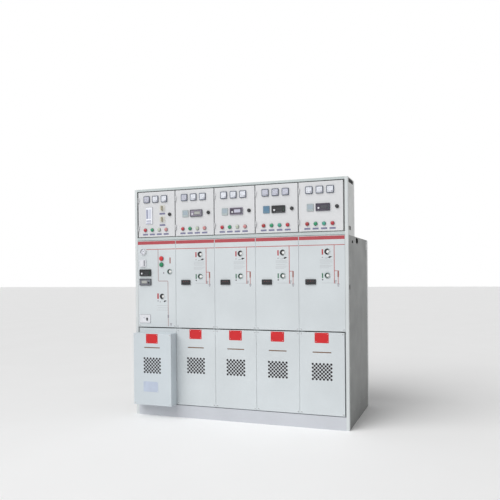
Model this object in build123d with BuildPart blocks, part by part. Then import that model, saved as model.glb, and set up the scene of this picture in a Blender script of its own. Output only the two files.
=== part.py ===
from build123d import *
import os

# Five-bay gas insulated ring main unit with an instrument box along its top.
# The frame: X to the right along the front, Y into the depth, Z up.
# The origin is on the floor, under the middle of the whole unit's box.

# Overall sizes, in millimetres
BAYS = 5
BAY_PITCH = 323.0
END_STRIP = 28.0
WIDTH = 2 * END_STRIP + BAYS * BAY_PITCH
DEPTH = 850.0
HOOD_DEPTH = 90.0
BODY_HEIGHT = 1350.0
BOX_HEIGHT = 401.0
TOTAL_HEIGHT = BODY_HEIGHT + BOX_HEIGHT
BOX_DEPTH = 253.0

# Sheet metal
SHEET = 2.0
BEND_RADIUS = 1.4
PANEL_FOLD = 26.0
PANEL_GAP = 3.0
POST_FACE = 21.0
POST_GAP = 1.0

# Heights of the rows on the front
PLINTH_HEIGHT = 92.0
PLINTH_GAP = 5.0
COVER_TOP = 675.0
COVER_GAP = 8.0
SILL_RAIL_HEIGHT = 21.0
RAIL_GAP = 3.0
DOOR_GAP = 8.0
DOOR_SILL_GAP = 6.0
DOOR_HEAD_GAP = 7.0
HEAD_RAIL_HEIGHT = 16.0

# Plinth
PLINTH_SHEET = 3.0
PLINTH_FLANGE = 50.0
FLOOR_BOLT_RADIUS = 7.0
FLOOR_BOLT_INSET = 28.0

# Uprights, posts and rails
UPRIGHT_WIDTH = 60.0
UPRIGHT_DEPTH = 30.0
END_UPRIGHT_WIDTH = 36.0
REAR_POST_LEG = 45.0
BOX_REAR_POST_LEG = 40.0
MULLION_WIDTH = 30.0
MULLION_DEPTH = 25.0
TANK_RAIL_HEIGHT = 40.0
TANK_RAIL_WIDTH = 45.0
TANK_RAIL_SHEET = 4.0
LIFTING_SLOT_LENGTH = 90.0
LIFTING_SLOT_HEIGHT = 40.0
LIFTING_SLOT_DROP = 26.0
LIFTING_SLOT_INSET = 350.0
HAND_SLOT_LENGTH = 50.0
HAND_SLOT_HEIGHT = 20.0
HAND_SLOT_DROP = 42.0
HAND_SLOT_INSET = 168.0

# Blanking plugs in the sides: insets are from the front
PLUG_CLEARANCE = 0.3
BODY_PLUG_RADIUS = 18.0
BODY_PLUG_INSET = 50.0
BODY_PLUG_Z = 988.0
BOX_PLUG_LENGTH = 32.0
BOX_PLUG_HEIGHT = 26.0
BOX_PLUG_INSETS = (48.0, 92.0)
BOX_PLUG_RISE = 50.0
WIRE_SLOT_LENGTH = 168.0
WIRE_SLOT_HEIGHT = 26.0
WIRE_SLOT_INSET = 118.0
WIRE_SLOT_DROP = 21.0

# Sealed gas tank
TANK_FRONT_SPACE = 130.0
TANK_BACK_SPACE = 60.0
TANK_SIDE_SPACE = 60.0
TANK_TOP_SPACE = 43.0
TANK_HEIGHT = 600.0
TANK_CORNER = 12.0

# Cable covers and the hood of the first bay, with drops from the covers' top edge
HOOD_DROP = 33.0
HOOD_FRAME = 18.0
SLOT_LENGTH = 134.0
SLOT_HEIGHT = 8.0
SLOT_DROP = 140.0
VENT_PITCH = 26.4
VENT_COLUMNS = 6
VENT_ROWS = 5
VENT_RADIUS = 8.2
VENT_DROP = 275.5

# Doors of the instrument box
DOOR_FOLD = 18.0
HINGE_RADIUS = 4.0
HINGE_INSET = 6.0
HINGE_STAND_OFF = 0.5
HINGE_HALF = 20.0
HINGE_SPLIT = 0.5
HINGE_PIN_RADIUS = 2.2
HINGE_PIN_CLEARANCE = 0.3
HINGE_PIN_LENGTH = 14.0
HINGE_LEAF = 1.5
HINGE_LEAF_WIDTH = 12.0
LOWER_HINGE_RISE = 65.0
UPPER_HINGE_DROP = 61.0

# Instruments on the doors: X is from the bay's left line, the meters hang from
# the door's top edge, and the rest are set from the line halfway to the buttons
METER_X = (79.0, 154.5, 230.0)
METER_DROP = 57.0
METER_SIZE = 51.0
METER_BODY = 44.0
METER_BODY_DEPTH = 58.0
RELAY_X = 177.5
RELAY_DROP = 4.0
RELAY_WIDTH = 101.0
RELAY_HEIGHT = 52.0
RELAY_BODY_WIDTH = 91.0
RELAY_BODY_HEIGHT = 44.0
RELAY_BODY_DEPTH = 80.0
SIGNAL_X = 87.0
SIGNAL_WIDTH = 48.0
SIGNAL_HEIGHT = 52.0
SIGNAL_BODY = 42.0
SIGNAL_BODY_DEPTH = 50.0
STATUS_X = 99.0
STATUS_DROP = 8.0
STATUS_WIDTH = 60.0
STATUS_HEIGHT = 132.0
STATUS_BODY_HEIGHT = 106.0
SELECTOR_X = 213.0
SELECTOR_RISES = (-39.0, 46.0)
SELECTOR_PLATE = 46.0
SELECTOR_KNOB_LENGTH = 36.0
SELECTOR_KNOB_WIDTH = 11.0
SELECTOR_KNOB_HEIGHT = 16.0
BEZEL_PROUD = 6.0
BEZEL_CORNER = 3.0
BEZEL_EDGE = 1.0
CUTOUT_CLEARANCE = 0.5

# Push buttons and locks on the doors
BUTTON_X = (64.5, 124.5, 184.5, 244.5)
BUTTON_RISE = 53.0
BUTTON_RING_RADIUS = 14.5
BUTTON_RING_PROUD = 4.0
BUTTON_NECK_RADIUS = 11.0
BUTTON_BODY_DEPTH = 12.0
BUTTON_BLOCK_WIDTH = 30.0
BUTTON_BLOCK_HEIGHT = 38.0
BUTTON_BLOCK_DEPTH = 34.0
LOCK_EDGE = 46.0
LOCK_DROP = 3.0
LOCK_RADIUS = 13.0
LOCK_PROUD = 9.0
LOCK_ROUND = 2.0
LOCK_BARREL_RADIUS = 10.0
LOCK_BARREL_LENGTH = 24.0
LOCK_CAM_LENGTH = 34.0
LOCK_CAM_WIDTH = 14.0
LOCK_CAM_SHEET = 3.0

# Operating sockets and devices on the front panels, with drops from the top edge
SOCKET_X = 206.0
SOCKET_DROPS = (279.0, 113.0)
BREAKER_SOCKET_DROP = 430.0
EARTH_SOCKET_EDGE = 52.0
EARTH_SOCKET_DROP = 240.0
SOCKET_FLANGE_RADIUS = 21.0
SOCKET_FLANGE_PROUD = 2.5
SOCKET_TUBE_RADIUS = 18.5
SOCKET_BORE_RADIUS = 15.5
SOCKET_BORE_LENGTH = 38.0
SOCKET_END_SHEET = 3.0
INDICATOR_X = 86.0
INDICATOR_DROP = 323.0
INDICATOR_WIDTH = 75.0
INDICATOR_HEIGHT = 37.0
INDICATOR_BODY_WIDTH = 68.0
INDICATOR_BODY_HEIGHT = 31.0
INDICATOR_BODY_DEPTH = 40.0
PROTECTION_X = 61.0
PROTECTION_DROPS = (319.0, 247.0)
GAUGE_X = 44.0
GAUGE_DROP = 84.0
GAUGE_RADIUS = 25.0
GAUGE_PROUD = 9.0
GAUGE_BODY_RADIUS = 20.0
GAUGE_BODY_DEPTH = 30.0
COUNTER_X = 39.0
COUNTER_DROP = 173.0
COUNTER_WIDTH = 54.0
COUNTER_HEIGHT = 55.0
COUNTER_BODY = 40.0
COUNTER_BODY_DEPTH = 30.0
BREAKER_BUTTON_X = 201.5
BREAKER_BUTTON_DROPS = (186.0, 139.0)
BREAKER_BUTTON_RADIUS = 18.5
BREAKER_BUTTON_PROUD = 9.0
BREAKER_BUTTON_STEM = 8.0
BREAKER_BUTTON_DEPTH = 20.0
BUTTON_ROUND = 3.0
TEST_X = 54.0
TEST_RISE = 63.0
TEST_WIDTH = 92.0
TEST_HEIGHT = 64.0
TEST_PROUD = 3.0
TEST_BODY_WIDTH = 70.0
TEST_BODY_HEIGHT = 44.0
TEST_BODY_DEPTH = 30.0

# Planes that the rows and columns are measured from
LEFT = -WIDTH / 2
RIGHT = WIDTH / 2
FRONT = HOOD_DEPTH - (DEPTH + HOOD_DEPTH) / 2
BACK = FRONT + DEPTH
FRAME_FACE = FRONT + PANEL_FOLD
BOX_BACK = FRONT + BOX_DEPTH
COVER_BOTTOM = PLINTH_HEIGHT + PLINTH_GAP
PANEL_BOTTOM = COVER_TOP + COVER_GAP
BODY_ROOF = BODY_HEIGHT - SHEET
PANEL_TOP = BODY_HEIGHT
RAIL_BOTTOM = BODY_HEIGHT + RAIL_GAP
RAIL_TOP = RAIL_BOTTOM + SILL_RAIL_HEIGHT
DOOR_BOTTOM = RAIL_TOP + DOOR_SILL_GAP
HEAD_RAIL_TOP = TOTAL_HEIGHT - SHEET
HEAD_RAIL_BOTTOM = HEAD_RAIL_TOP - HEAD_RAIL_HEIGHT
DOOR_TOP = HEAD_RAIL_BOTTOM - DOOR_HEAD_GAP
HINGE_Y = FRONT - HINGE_RADIUS - HINGE_STAND_OFF
HINGE_HEIGHTS = (DOOR_BOTTOM + LOWER_HINGE_RISE, DOOR_TOP - UPPER_HINGE_DROP)
METER_Z = DOOR_TOP - METER_DROP
BUTTON_Z = DOOR_BOTTOM + BUTTON_RISE
MIDDLE_Z = (METER_Z + BUTTON_Z) / 2
RELAY_Z = MIDDLE_Z - RELAY_DROP
STATUS_Z = MIDDLE_Z - STATUS_DROP
LOCK_X = BAY_PITCH - LOCK_EDGE
LOCK_Z = MIDDLE_Z - LOCK_DROP
INDICATOR_Z = PANEL_TOP - INDICATOR_DROP
GAUGE_Z = PANEL_TOP - GAUGE_DROP
COUNTER_Z = PANEL_TOP - COUNTER_DROP
TEST_Z = PANEL_BOTTOM + TEST_RISE
HOOD_TOP = COVER_TOP - HOOD_DROP
TANK_FLOOR_Z = BODY_ROOF - TANK_TOP_SPACE - TANK_HEIGHT

os.makedirs("parts", exist_ok=True)


def bay_left(bay):
    """X of the line at the left of a bay, counted from 1."""
    return LEFT + END_STRIP + (bay - 1) * BAY_PITCH


def finish(builder, name):
    """Names a finished piece and writes its file."""
    builder.part.label = name
    export_step(builder.part, f"parts/{name}.step")


def slab(x_range, y_range, z_range, mode=Mode.ADD):
    """A rectangular block between two planes along each axis."""
    (x0, x1), (y0, y1), (z0, z1) = x_range, y_range, z_range
    with Locations(((x0 + x1) / 2, (y0 + y1) / 2, (z0 + z1) / 2)):
        Box(x1 - x0, y1 - y0, z1 - z0, mode=mode)


def tray(x_range, z_range, fold, face=FRONT):
    """A sheet that faces the front, with its four edges folded back."""
    (x0, x1), (z0, z1) = x_range, z_range
    slab(x_range, (face, face + fold), z_range)
    fillet(faces().sort_by(Axis.Y)[0].edges(), BEND_RADIUS)
    slab(
        (x0 + SHEET, x1 - SHEET),
        (face + SHEET, face + fold),
        (z0 + SHEET, z1 - SHEET),
        mode=Mode.SUBTRACT,
    )


def wall_plane(y):
    """A sketch plane that faces the front, at one depth."""
    return Plane.XZ.offset(-y)


def cut_rectangle(x, z, width, height, face=FRONT):
    """A rectangular cut-out through a sheet that faces the front."""
    with BuildSketch(wall_plane(face - SHEET)) as outline:
        with Locations((x, z)):
            Rectangle(width, height)
    extrude(outline.sketch, amount=-3 * SHEET, mode=Mode.SUBTRACT)


def cut_circle(x, z, radius, face=FRONT):
    """A round hole through a sheet that faces the front."""
    with BuildSketch(wall_plane(face - SHEET)) as outline:
        with Locations((x, z)):
            Circle(radius)
    extrude(outline.sketch, amount=-3 * SHEET, mode=Mode.SUBTRACT)


def cut_vents(x, face=FRONT):
    """The inspection slot and the staggered vent holes of a cable cover."""
    with BuildSketch(wall_plane(face - SHEET)) as openings:
        with Locations((x, COVER_TOP - SLOT_DROP)):
            SlotOverall(SLOT_LENGTH, SLOT_HEIGHT)
        with Locations((x, COVER_TOP - VENT_DROP)):
            with GridLocations(VENT_PITCH, VENT_PITCH, VENT_COLUMNS, VENT_ROWS):
                Circle(VENT_RADIUS)
            with GridLocations(VENT_PITCH, VENT_PITCH, VENT_COLUMNS - 1, VENT_ROWS - 1):
                Circle(VENT_RADIUS)
    extrude(openings.sketch, amount=-3 * SHEET, mode=Mode.SUBTRACT)


def square_device(x, z, size, body, body_depth, proud=BEZEL_PROUD):
    """A panel instrument: a bezel on the face and a body through the cut-out."""
    with BuildSketch(wall_plane(FRONT)) as bezel:
        with Locations((x, z)):
            RectangleRounded(size[0], size[1], BEZEL_CORNER)
    extrude(bezel.sketch, amount=proud)
    chamfer(faces(Select.LAST).sort_by(Axis.Y)[0].edges(), BEZEL_EDGE)
    slab(
        (x - body[0] / 2, x + body[0] / 2),
        (FRONT, FRONT + body_depth),
        (z - body[1] / 2, z + body[1] / 2),
    )


def round_bar(x, z, radius, y_range, mode=Mode.ADD):
    """A cylinder along the depth."""
    with BuildSketch(wall_plane(y_range[0])) as outline:
        with Locations((x, z)):
            Circle(radius)
    extrude(outline.sketch, amount=y_range[0] - y_range[1], mode=mode)


# The plinth: a ring of folded channel that the unit stands and bolts down on
with BuildPart() as plinth:
    slab((LEFT + SHEET, RIGHT - SHEET), (FRONT + SHEET, BACK - SHEET), (0, PLINTH_HEIGHT))
    slab((LEFT + POST_FACE, RIGHT - POST_FACE), (FRONT, FRONT + SHEET), (0, PLINTH_HEIGHT))
    slab((LEFT + REAR_POST_LEG, RIGHT - REAR_POST_LEG), (BACK - SHEET, BACK), (0, PLINTH_HEIGHT))
    slab(
        (LEFT + SHEET + PLINTH_SHEET, RIGHT - SHEET - PLINTH_SHEET),
        (FRONT + SHEET + PLINTH_SHEET, BACK - SHEET - PLINTH_SHEET),
        (PLINTH_SHEET, PLINTH_HEIGHT - PLINTH_SHEET),
        mode=Mode.SUBTRACT,
    )
    slab(
        (LEFT + PLINTH_FLANGE, RIGHT - PLINTH_FLANGE),
        (FRONT + PLINTH_FLANGE, BACK - PLINTH_FLANGE),
        (-PLINTH_SHEET, PLINTH_HEIGHT + PLINTH_SHEET),
        mode=Mode.SUBTRACT,
    )
    with BuildSketch(Plane.XY):
        with Locations((0, (FRONT + BACK) / 2)):
            with GridLocations(WIDTH - 2 * FLOOR_BOLT_INSET, DEPTH - 2 * FLOOR_BOLT_INSET, 2, 2):
                Circle(FLOOR_BOLT_RADIUS)
    extrude(amount=PLINTH_SHEET, mode=Mode.SUBTRACT)
finish(plinth, "plinth")


def angle_post(corner_x, corner_y, leg_x, leg_y, z_range):
    """An angle section: one leg along X, one along Y, from an outer corner."""
    x_far = corner_x + leg_x
    y_far = corner_y + leg_y
    x_thin = corner_x + (SHEET if leg_x > 0 else -SHEET)
    y_thin = corner_y + (SHEET if leg_y > 0 else -SHEET)
    slab(sorted((corner_x, x_far)), sorted((corner_y, y_thin)), z_range)
    slab(sorted((corner_x, x_thin)), sorted((corner_y, y_far)), z_range)


# Front posts: full height, one at each end of the front
with BuildPart() as front_posts:
    angle_post(LEFT, FRONT, POST_FACE, PANEL_FOLD, (0, HEAD_RAIL_TOP))
    angle_post(RIGHT, FRONT, -POST_FACE, PANEL_FOLD, (0, HEAD_RAIL_TOP))
finish(front_posts, "front_posts")

# Rear posts of the body, and the shorter ones of the instrument box
with BuildPart() as rear_posts:
    angle_post(LEFT, BACK, REAR_POST_LEG, -REAR_POST_LEG, (0, BODY_HEIGHT))
    angle_post(RIGHT, BACK, -REAR_POST_LEG, -REAR_POST_LEG, (0, BODY_HEIGHT))
finish(rear_posts, "rear_posts")

with BuildPart() as box_rear_posts:
    angle_post(LEFT, BOX_BACK, BOX_REAR_POST_LEG, -BOX_REAR_POST_LEG, (BODY_HEIGHT, HEAD_RAIL_TOP))
    angle_post(RIGHT, BOX_BACK, -BOX_REAR_POST_LEG, -BOX_REAR_POST_LEG, (BODY_HEIGHT, HEAD_RAIL_TOP))
finish(box_rear_posts, "box_rear_posts")

# Side panels of the body: a hand slot, a lifting slot and a plug hole in each
with BuildPart() as side_panels:
    for side in (LEFT, RIGHT - SHEET):
        slab((side, side + SHEET), (FRAME_FACE, BACK - REAR_POST_LEG), (0, BODY_HEIGHT))
    with BuildSketch(Plane.YZ.offset(LEFT)):
        with Locations((FRONT + LIFTING_SLOT_INSET, BODY_HEIGHT - LIFTING_SLOT_DROP)):
            SlotOverall(LIFTING_SLOT_LENGTH, LIFTING_SLOT_HEIGHT)
        with Locations((FRONT + HAND_SLOT_INSET, BODY_HEIGHT - HAND_SLOT_DROP)):
            SlotOverall(HAND_SLOT_LENGTH, HAND_SLOT_HEIGHT)
        with Locations((FRONT + BODY_PLUG_INSET, BODY_PLUG_Z)):
            Circle(BODY_PLUG_RADIUS + PLUG_CLEARANCE)
    extrude(amount=WIDTH, mode=Mode.SUBTRACT)
finish(side_panels, "side_panels")

with BuildPart() as back_panel:
    slab(
        (LEFT + REAR_POST_LEG, RIGHT - REAR_POST_LEG),
        (BACK - SHEET, BACK),
        (PLINTH_HEIGHT, BODY_HEIGHT),
    )
finish(back_panel, "back_panel")

with BuildPart() as top_panel:
    slab((LEFT + SHEET, RIGHT - SHEET), (FRAME_FACE, BACK - SHEET), (BODY_ROOF, BODY_HEIGHT))
finish(top_panel, "top_panel")

# Square tube uprights behind the joints between the bays
with BuildPart() as uprights:
    centres = [(bay_left(bay), UPRIGHT_WIDTH) for bay in range(2, BAYS + 1)]
    centres.append((LEFT + SHEET + END_UPRIGHT_WIDTH / 2, END_UPRIGHT_WIDTH))
    centres.append((RIGHT - SHEET - END_UPRIGHT_WIDTH / 2, END_UPRIGHT_WIDTH))
    for x, width in centres:
        x_range = (x - width / 2, x + width / 2)
        slab(x_range, (FRAME_FACE, FRAME_FACE + UPRIGHT_DEPTH), (PLINTH_HEIGHT, BODY_ROOF))
        slab(
            (x_range[0] + SHEET, x_range[1] - SHEET),
            (FRAME_FACE + SHEET, FRAME_FACE + UPRIGHT_DEPTH - SHEET),
            (PLINTH_HEIGHT, BODY_ROOF),
            mode=Mode.SUBTRACT,
        )
finish(uprights, "uprights")

# Two channels from side to side that carry the gas tank
with BuildPart() as tank_rails:
    rail_z = (TANK_FLOOR_Z - TANK_RAIL_HEIGHT, TANK_FLOOR_Z)
    front_rail_y = FRONT + TANK_FRONT_SPACE + TANK_RAIL_WIDTH
    back_rail_y = BACK - TANK_BACK_SPACE - 2 * TANK_RAIL_WIDTH
    for y in (front_rail_y, back_rail_y):
        slab((LEFT + SHEET, RIGHT - SHEET), (y, y + TANK_RAIL_WIDTH), rail_z)
        slab(
            (LEFT + SHEET, RIGHT - SHEET),
            (y + TANK_RAIL_SHEET, y + TANK_RAIL_WIDTH - TANK_RAIL_SHEET),
            (rail_z[0], rail_z[1] - TANK_RAIL_SHEET),
            mode=Mode.SUBTRACT,
        )
finish(tank_rails, "tank_rails")

with BuildPart() as gas_tank:
    slab(
        (LEFT + TANK_SIDE_SPACE, RIGHT - TANK_SIDE_SPACE),
        (FRONT + TANK_FRONT_SPACE, BACK - TANK_BACK_SPACE),
        (TANK_FLOOR_Z, TANK_FLOOR_Z + TANK_HEIGHT),
    )
    fillet(edges().filter_by(Axis.Z), TANK_CORNER)
finish(gas_tank, "gas_tank")

# Cable covers of the second to the last bay
for bay in range(2, BAYS + 1):
    left = bay_left(bay)
    with BuildPart() as cable_cover:
        tray(
            (left + PANEL_GAP / 2, left + BAY_PITCH - PANEL_GAP / 2),
            (COVER_BOTTOM, COVER_TOP),
            PANEL_FOLD,
        )
        cut_vents(left + BAY_PITCH / 2)
    finish(cable_cover, f"cable_cover_{bay}")

# The first bay: a cover with a window, and a deep hood on it
hood_x = (bay_left(1) + PANEL_GAP / 2, bay_left(1) + BAY_PITCH - PANEL_GAP / 2)
hood_face = FRONT - HOOD_DEPTH
with BuildPart() as hood_cover:
    tray(hood_x, (COVER_BOTTOM, COVER_TOP), PANEL_FOLD)
    slab(
        (hood_x[0] + HOOD_FRAME, hood_x[1] - HOOD_FRAME),
        (FRONT - SHEET, FRONT + 2 * SHEET),
        (COVER_BOTTOM + HOOD_FRAME, HOOD_TOP - HOOD_FRAME),
        mode=Mode.SUBTRACT,
    )
finish(hood_cover, "cable_cover_1")

with BuildPart() as cable_hood:
    tray(hood_x, (COVER_BOTTOM, HOOD_TOP), HOOD_DEPTH, face=hood_face)
    cut_vents(bay_left(1) + BAY_PITCH / 2, face=hood_face)
finish(cable_hood, "cable_hood_1")

# Front panels with their holes and cut-outs
socket_places = []
for bay in range(2, BAYS + 1):
    for drop in SOCKET_DROPS:
        socket_places.append((bay, SOCKET_X, PANEL_TOP - drop))
socket_places.append((1, SOCKET_X, PANEL_TOP - BREAKER_SOCKET_DROP))
socket_places.append((1, BAY_PITCH - EARTH_SOCKET_EDGE, PANEL_TOP - EARTH_SOCKET_DROP))

for bay in range(1, BAYS + 1):
    left = bay_left(bay)
    panel_left = left + PANEL_GAP / 2 if bay > 1 else LEFT + POST_FACE + POST_GAP
    panel_right = left + BAY_PITCH - PANEL_GAP / 2 if bay < BAYS else RIGHT - POST_FACE - POST_GAP
    with BuildPart() as front_panel:
        tray((panel_left, panel_right), (PANEL_BOTTOM, PANEL_TOP), PANEL_FOLD)
        for socket_bay, x, z in socket_places:
            if socket_bay == bay:
                cut_circle(left + x, z, SOCKET_TUBE_RADIUS + CUTOUT_CLEARANCE)
        if bay == 1:
            for drop in PROTECTION_DROPS:
                cut_rectangle(
                    left + PROTECTION_X,
                    PANEL_TOP - drop,
                    RELAY_BODY_WIDTH + 2 * CUTOUT_CLEARANCE,
                    RELAY_BODY_HEIGHT + 2 * CUTOUT_CLEARANCE,
                )
            cut_circle(left + GAUGE_X, GAUGE_Z, GAUGE_BODY_RADIUS + CUTOUT_CLEARANCE)
            counter_cut = COUNTER_BODY + 2 * CUTOUT_CLEARANCE
            cut_rectangle(left + COUNTER_X, COUNTER_Z, counter_cut, counter_cut)
            for drop in BREAKER_BUTTON_DROPS:
                stem_cut = BREAKER_BUTTON_STEM + CUTOUT_CLEARANCE
                cut_circle(left + BREAKER_BUTTON_X, PANEL_TOP - drop, stem_cut)
            cut_rectangle(
                left + TEST_X,
                TEST_Z,
                TEST_BODY_WIDTH + 2 * CUTOUT_CLEARANCE,
                TEST_BODY_HEIGHT + 2 * CUTOUT_CLEARANCE,
            )
        else:
            cut_rectangle(
                left + INDICATOR_X,
                INDICATOR_Z,
                INDICATOR_BODY_WIDTH + 2 * CUTOUT_CLEARANCE,
                INDICATOR_BODY_HEIGHT + 2 * CUTOUT_CLEARANCE,
            )
    finish(front_panel, f"front_panel_{bay}")

# Operating sockets: blind tubes that the operating lever goes into
with BuildPart() as sockets:
    mouth = FRONT - SOCKET_FLANGE_PROUD
    bore_end = mouth + SOCKET_BORE_LENGTH
    for bay, x, z in socket_places:
        place = bay_left(bay) + x
        round_bar(place, z, SOCKET_FLANGE_RADIUS, (mouth, FRONT))
        round_bar(place, z, SOCKET_TUBE_RADIUS, (FRONT, bore_end + SOCKET_END_SHEET))
        round_bar(place, z, SOCKET_BORE_RADIUS, (mouth, bore_end), mode=Mode.SUBTRACT)
finish(sockets, "operating_sockets")

with BuildPart() as indicators:
    for bay in range(2, BAYS + 1):
        square_device(
            bay_left(bay) + INDICATOR_X,
            INDICATOR_Z,
            (INDICATOR_WIDTH, INDICATOR_HEIGHT),
            (INDICATOR_BODY_WIDTH, INDICATOR_BODY_HEIGHT),
            INDICATOR_BODY_DEPTH,
        )
finish(indicators, "voltage_indicators")

# Devices of the first bay
with BuildPart() as protection_relays:
    for drop in PROTECTION_DROPS:
        square_device(
            bay_left(1) + PROTECTION_X,
            PANEL_TOP - drop,
            (RELAY_WIDTH, RELAY_HEIGHT),
            (RELAY_BODY_WIDTH, RELAY_BODY_HEIGHT),
            RELAY_BODY_DEPTH,
        )
finish(protection_relays, "protection_relays")

with BuildPart() as pressure_gauge:
    round_bar(bay_left(1) + GAUGE_X, GAUGE_Z, GAUGE_RADIUS, (FRONT - GAUGE_PROUD, FRONT))
    fillet(faces(Select.LAST).sort_by(Axis.Y)[0].edges(), BEZEL_EDGE)
    round_bar(bay_left(1) + GAUGE_X, GAUGE_Z, GAUGE_BODY_RADIUS, (FRONT, FRONT + GAUGE_BODY_DEPTH))
finish(pressure_gauge, "pressure_gauge")

with BuildPart() as counter:
    square_device(
        bay_left(1) + COUNTER_X,
        COUNTER_Z,
        (COUNTER_WIDTH, COUNTER_HEIGHT),
        (COUNTER_BODY, COUNTER_BODY),
        COUNTER_BODY_DEPTH,
    )
finish(counter, "operation_counter")

with BuildPart() as breaker_buttons:
    for drop in BREAKER_BUTTON_DROPS:
        x = bay_left(1) + BREAKER_BUTTON_X
        z = PANEL_TOP - drop
        round_bar(x, z, BREAKER_BUTTON_RADIUS, (FRONT - BREAKER_BUTTON_PROUD, FRONT))
        fillet(faces(Select.LAST).sort_by(Axis.Y)[0].edges(), BUTTON_ROUND)
        round_bar(x, z, BREAKER_BUTTON_STEM, (FRONT, FRONT + BREAKER_BUTTON_DEPTH))
finish(breaker_buttons, "breaker_buttons")

with BuildPart() as test_panel:
    square_device(
        bay_left(1) + TEST_X,
        TEST_Z,
        (TEST_WIDTH, TEST_HEIGHT),
        (TEST_BODY_WIDTH, TEST_BODY_HEIGHT),
        TEST_BODY_DEPTH,
        proud=TEST_PROUD,
    )
finish(test_panel, "test_panel")

# The instrument box: rails, mullions and sheets
with BuildPart() as sill_rail:
    slab((LEFT + POST_FACE, RIGHT - POST_FACE), (FRONT, FRAME_FACE), (RAIL_BOTTOM, RAIL_TOP))
    slab(
        (LEFT + POST_FACE, RIGHT - POST_FACE),
        (FRONT + SHEET, FRAME_FACE),
        (RAIL_BOTTOM + SHEET, RAIL_TOP - SHEET),
        mode=Mode.SUBTRACT,
    )
finish(sill_rail, "sill_rail")

with BuildPart() as head_rail:
    slab((LEFT + POST_FACE, RIGHT - POST_FACE), (FRONT, FRAME_FACE), (HEAD_RAIL_BOTTOM, HEAD_RAIL_TOP))
    slab(
        (LEFT + POST_FACE, RIGHT - POST_FACE),
        (FRONT + SHEET, FRAME_FACE),
        (HEAD_RAIL_BOTTOM + SHEET, HEAD_RAIL_TOP - SHEET),
        mode=Mode.SUBTRACT,
    )
finish(head_rail, "head_rail")

with BuildPart() as box_floor:
    slab(
        (LEFT + SHEET, RIGHT - SHEET),
        (FRAME_FACE, BOX_BACK - SHEET),
        (BODY_HEIGHT, BODY_HEIGHT + SHEET),
    )
finish(box_floor, "box_floor")

with BuildPart() as box_top:
    slab((LEFT, RIGHT), (FRONT, BOX_BACK), (HEAD_RAIL_TOP, TOTAL_HEIGHT))
    fillet(faces().sort_by(Axis.Z)[-1].edges(), BEND_RADIUS)
finish(box_top, "box_top")

with BuildPart() as box_back:
    slab(
        (LEFT + BOX_REAR_POST_LEG, RIGHT - BOX_REAR_POST_LEG),
        (BOX_BACK - SHEET, BOX_BACK),
        (BODY_HEIGHT, HEAD_RAIL_TOP),
    )
finish(box_back, "box_back")

with BuildPart() as box_sides:
    for side in (LEFT, RIGHT - SHEET):
        slab(
            (side, side + SHEET),
            (FRAME_FACE, BOX_BACK - BOX_REAR_POST_LEG),
            (BODY_HEIGHT, HEAD_RAIL_TOP),
        )
    with BuildSketch(Plane.YZ.offset(LEFT)):
        for inset in BOX_PLUG_INSETS:
            with Locations((FRONT + inset, BODY_HEIGHT + BOX_PLUG_RISE)):
                Rectangle(BOX_PLUG_LENGTH + 2 * PLUG_CLEARANCE, BOX_PLUG_HEIGHT + 2 * PLUG_CLEARANCE)
        with Locations((FRONT + WIRE_SLOT_INSET, TOTAL_HEIGHT - WIRE_SLOT_DROP)):
            Rectangle(WIRE_SLOT_LENGTH + 2 * PLUG_CLEARANCE, WIRE_SLOT_HEIGHT + 2 * PLUG_CLEARANCE)
    extrude(amount=WIDTH, mode=Mode.SUBTRACT)
finish(box_sides, "box_sides")

# Plugs that close the unused cable holes, flush with the side sheets
with BuildPart() as side_plugs:
    for side in (LEFT, RIGHT - SHEET):
        with BuildSketch(Plane.YZ.offset(side)):
            with Locations((FRONT + BODY_PLUG_INSET, BODY_PLUG_Z)):
                Circle(BODY_PLUG_RADIUS)
            for inset in BOX_PLUG_INSETS:
                with Locations((FRONT + inset, BODY_HEIGHT + BOX_PLUG_RISE)):
                    Rectangle(BOX_PLUG_LENGTH, BOX_PLUG_HEIGHT)
            with Locations((FRONT + WIRE_SLOT_INSET, TOTAL_HEIGHT - WIRE_SLOT_DROP)):
                Rectangle(WIRE_SLOT_LENGTH, WIRE_SLOT_HEIGHT)
        extrude(amount=SHEET)
finish(side_plugs, "side_plugs")

with BuildPart() as mullions:
    for bay in range(1, BAYS + 2):
        x_from = bay_left(bay) - MULLION_WIDTH / 2 if bay > 1 else LEFT + SHEET
        x_to = bay_left(bay) + MULLION_WIDTH / 2 if bay <= BAYS else RIGHT - SHEET
        slab(
            (x_from, x_to),
            (FRAME_FACE, FRAME_FACE + MULLION_DEPTH),
            (BODY_HEIGHT + SHEET, HEAD_RAIL_TOP),
        )
finish(mullions, "mullions")

# The fixed half of each hinge: a leaf from the mullion, a barrel and its pin
with BuildPart() as hinge_pins:
    for bay in range(1, BAYS + 1):
        hinge_x = bay_left(bay) + HINGE_INSET
        for z in HINGE_HEIGHTS:
            z_range = (z - HINGE_HALF, z - HINGE_SPLIT / 2)
            with Locations((hinge_x, HINGE_Y, (z_range[0] + z_range[1]) / 2)):
                Cylinder(HINGE_RADIUS, z_range[1] - z_range[0])
            with Locations((hinge_x, HINGE_Y, z_range[1] + HINGE_PIN_LENGTH / 2)):
                Cylinder(HINGE_PIN_RADIUS, HINGE_PIN_LENGTH)
            leaf_x = hinge_x - HINGE_RADIUS
            slab((leaf_x, leaf_x + HINGE_LEAF), (HINGE_Y, FRAME_FACE), z_range)
finish(hinge_pins, "hinge_pins")


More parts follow.
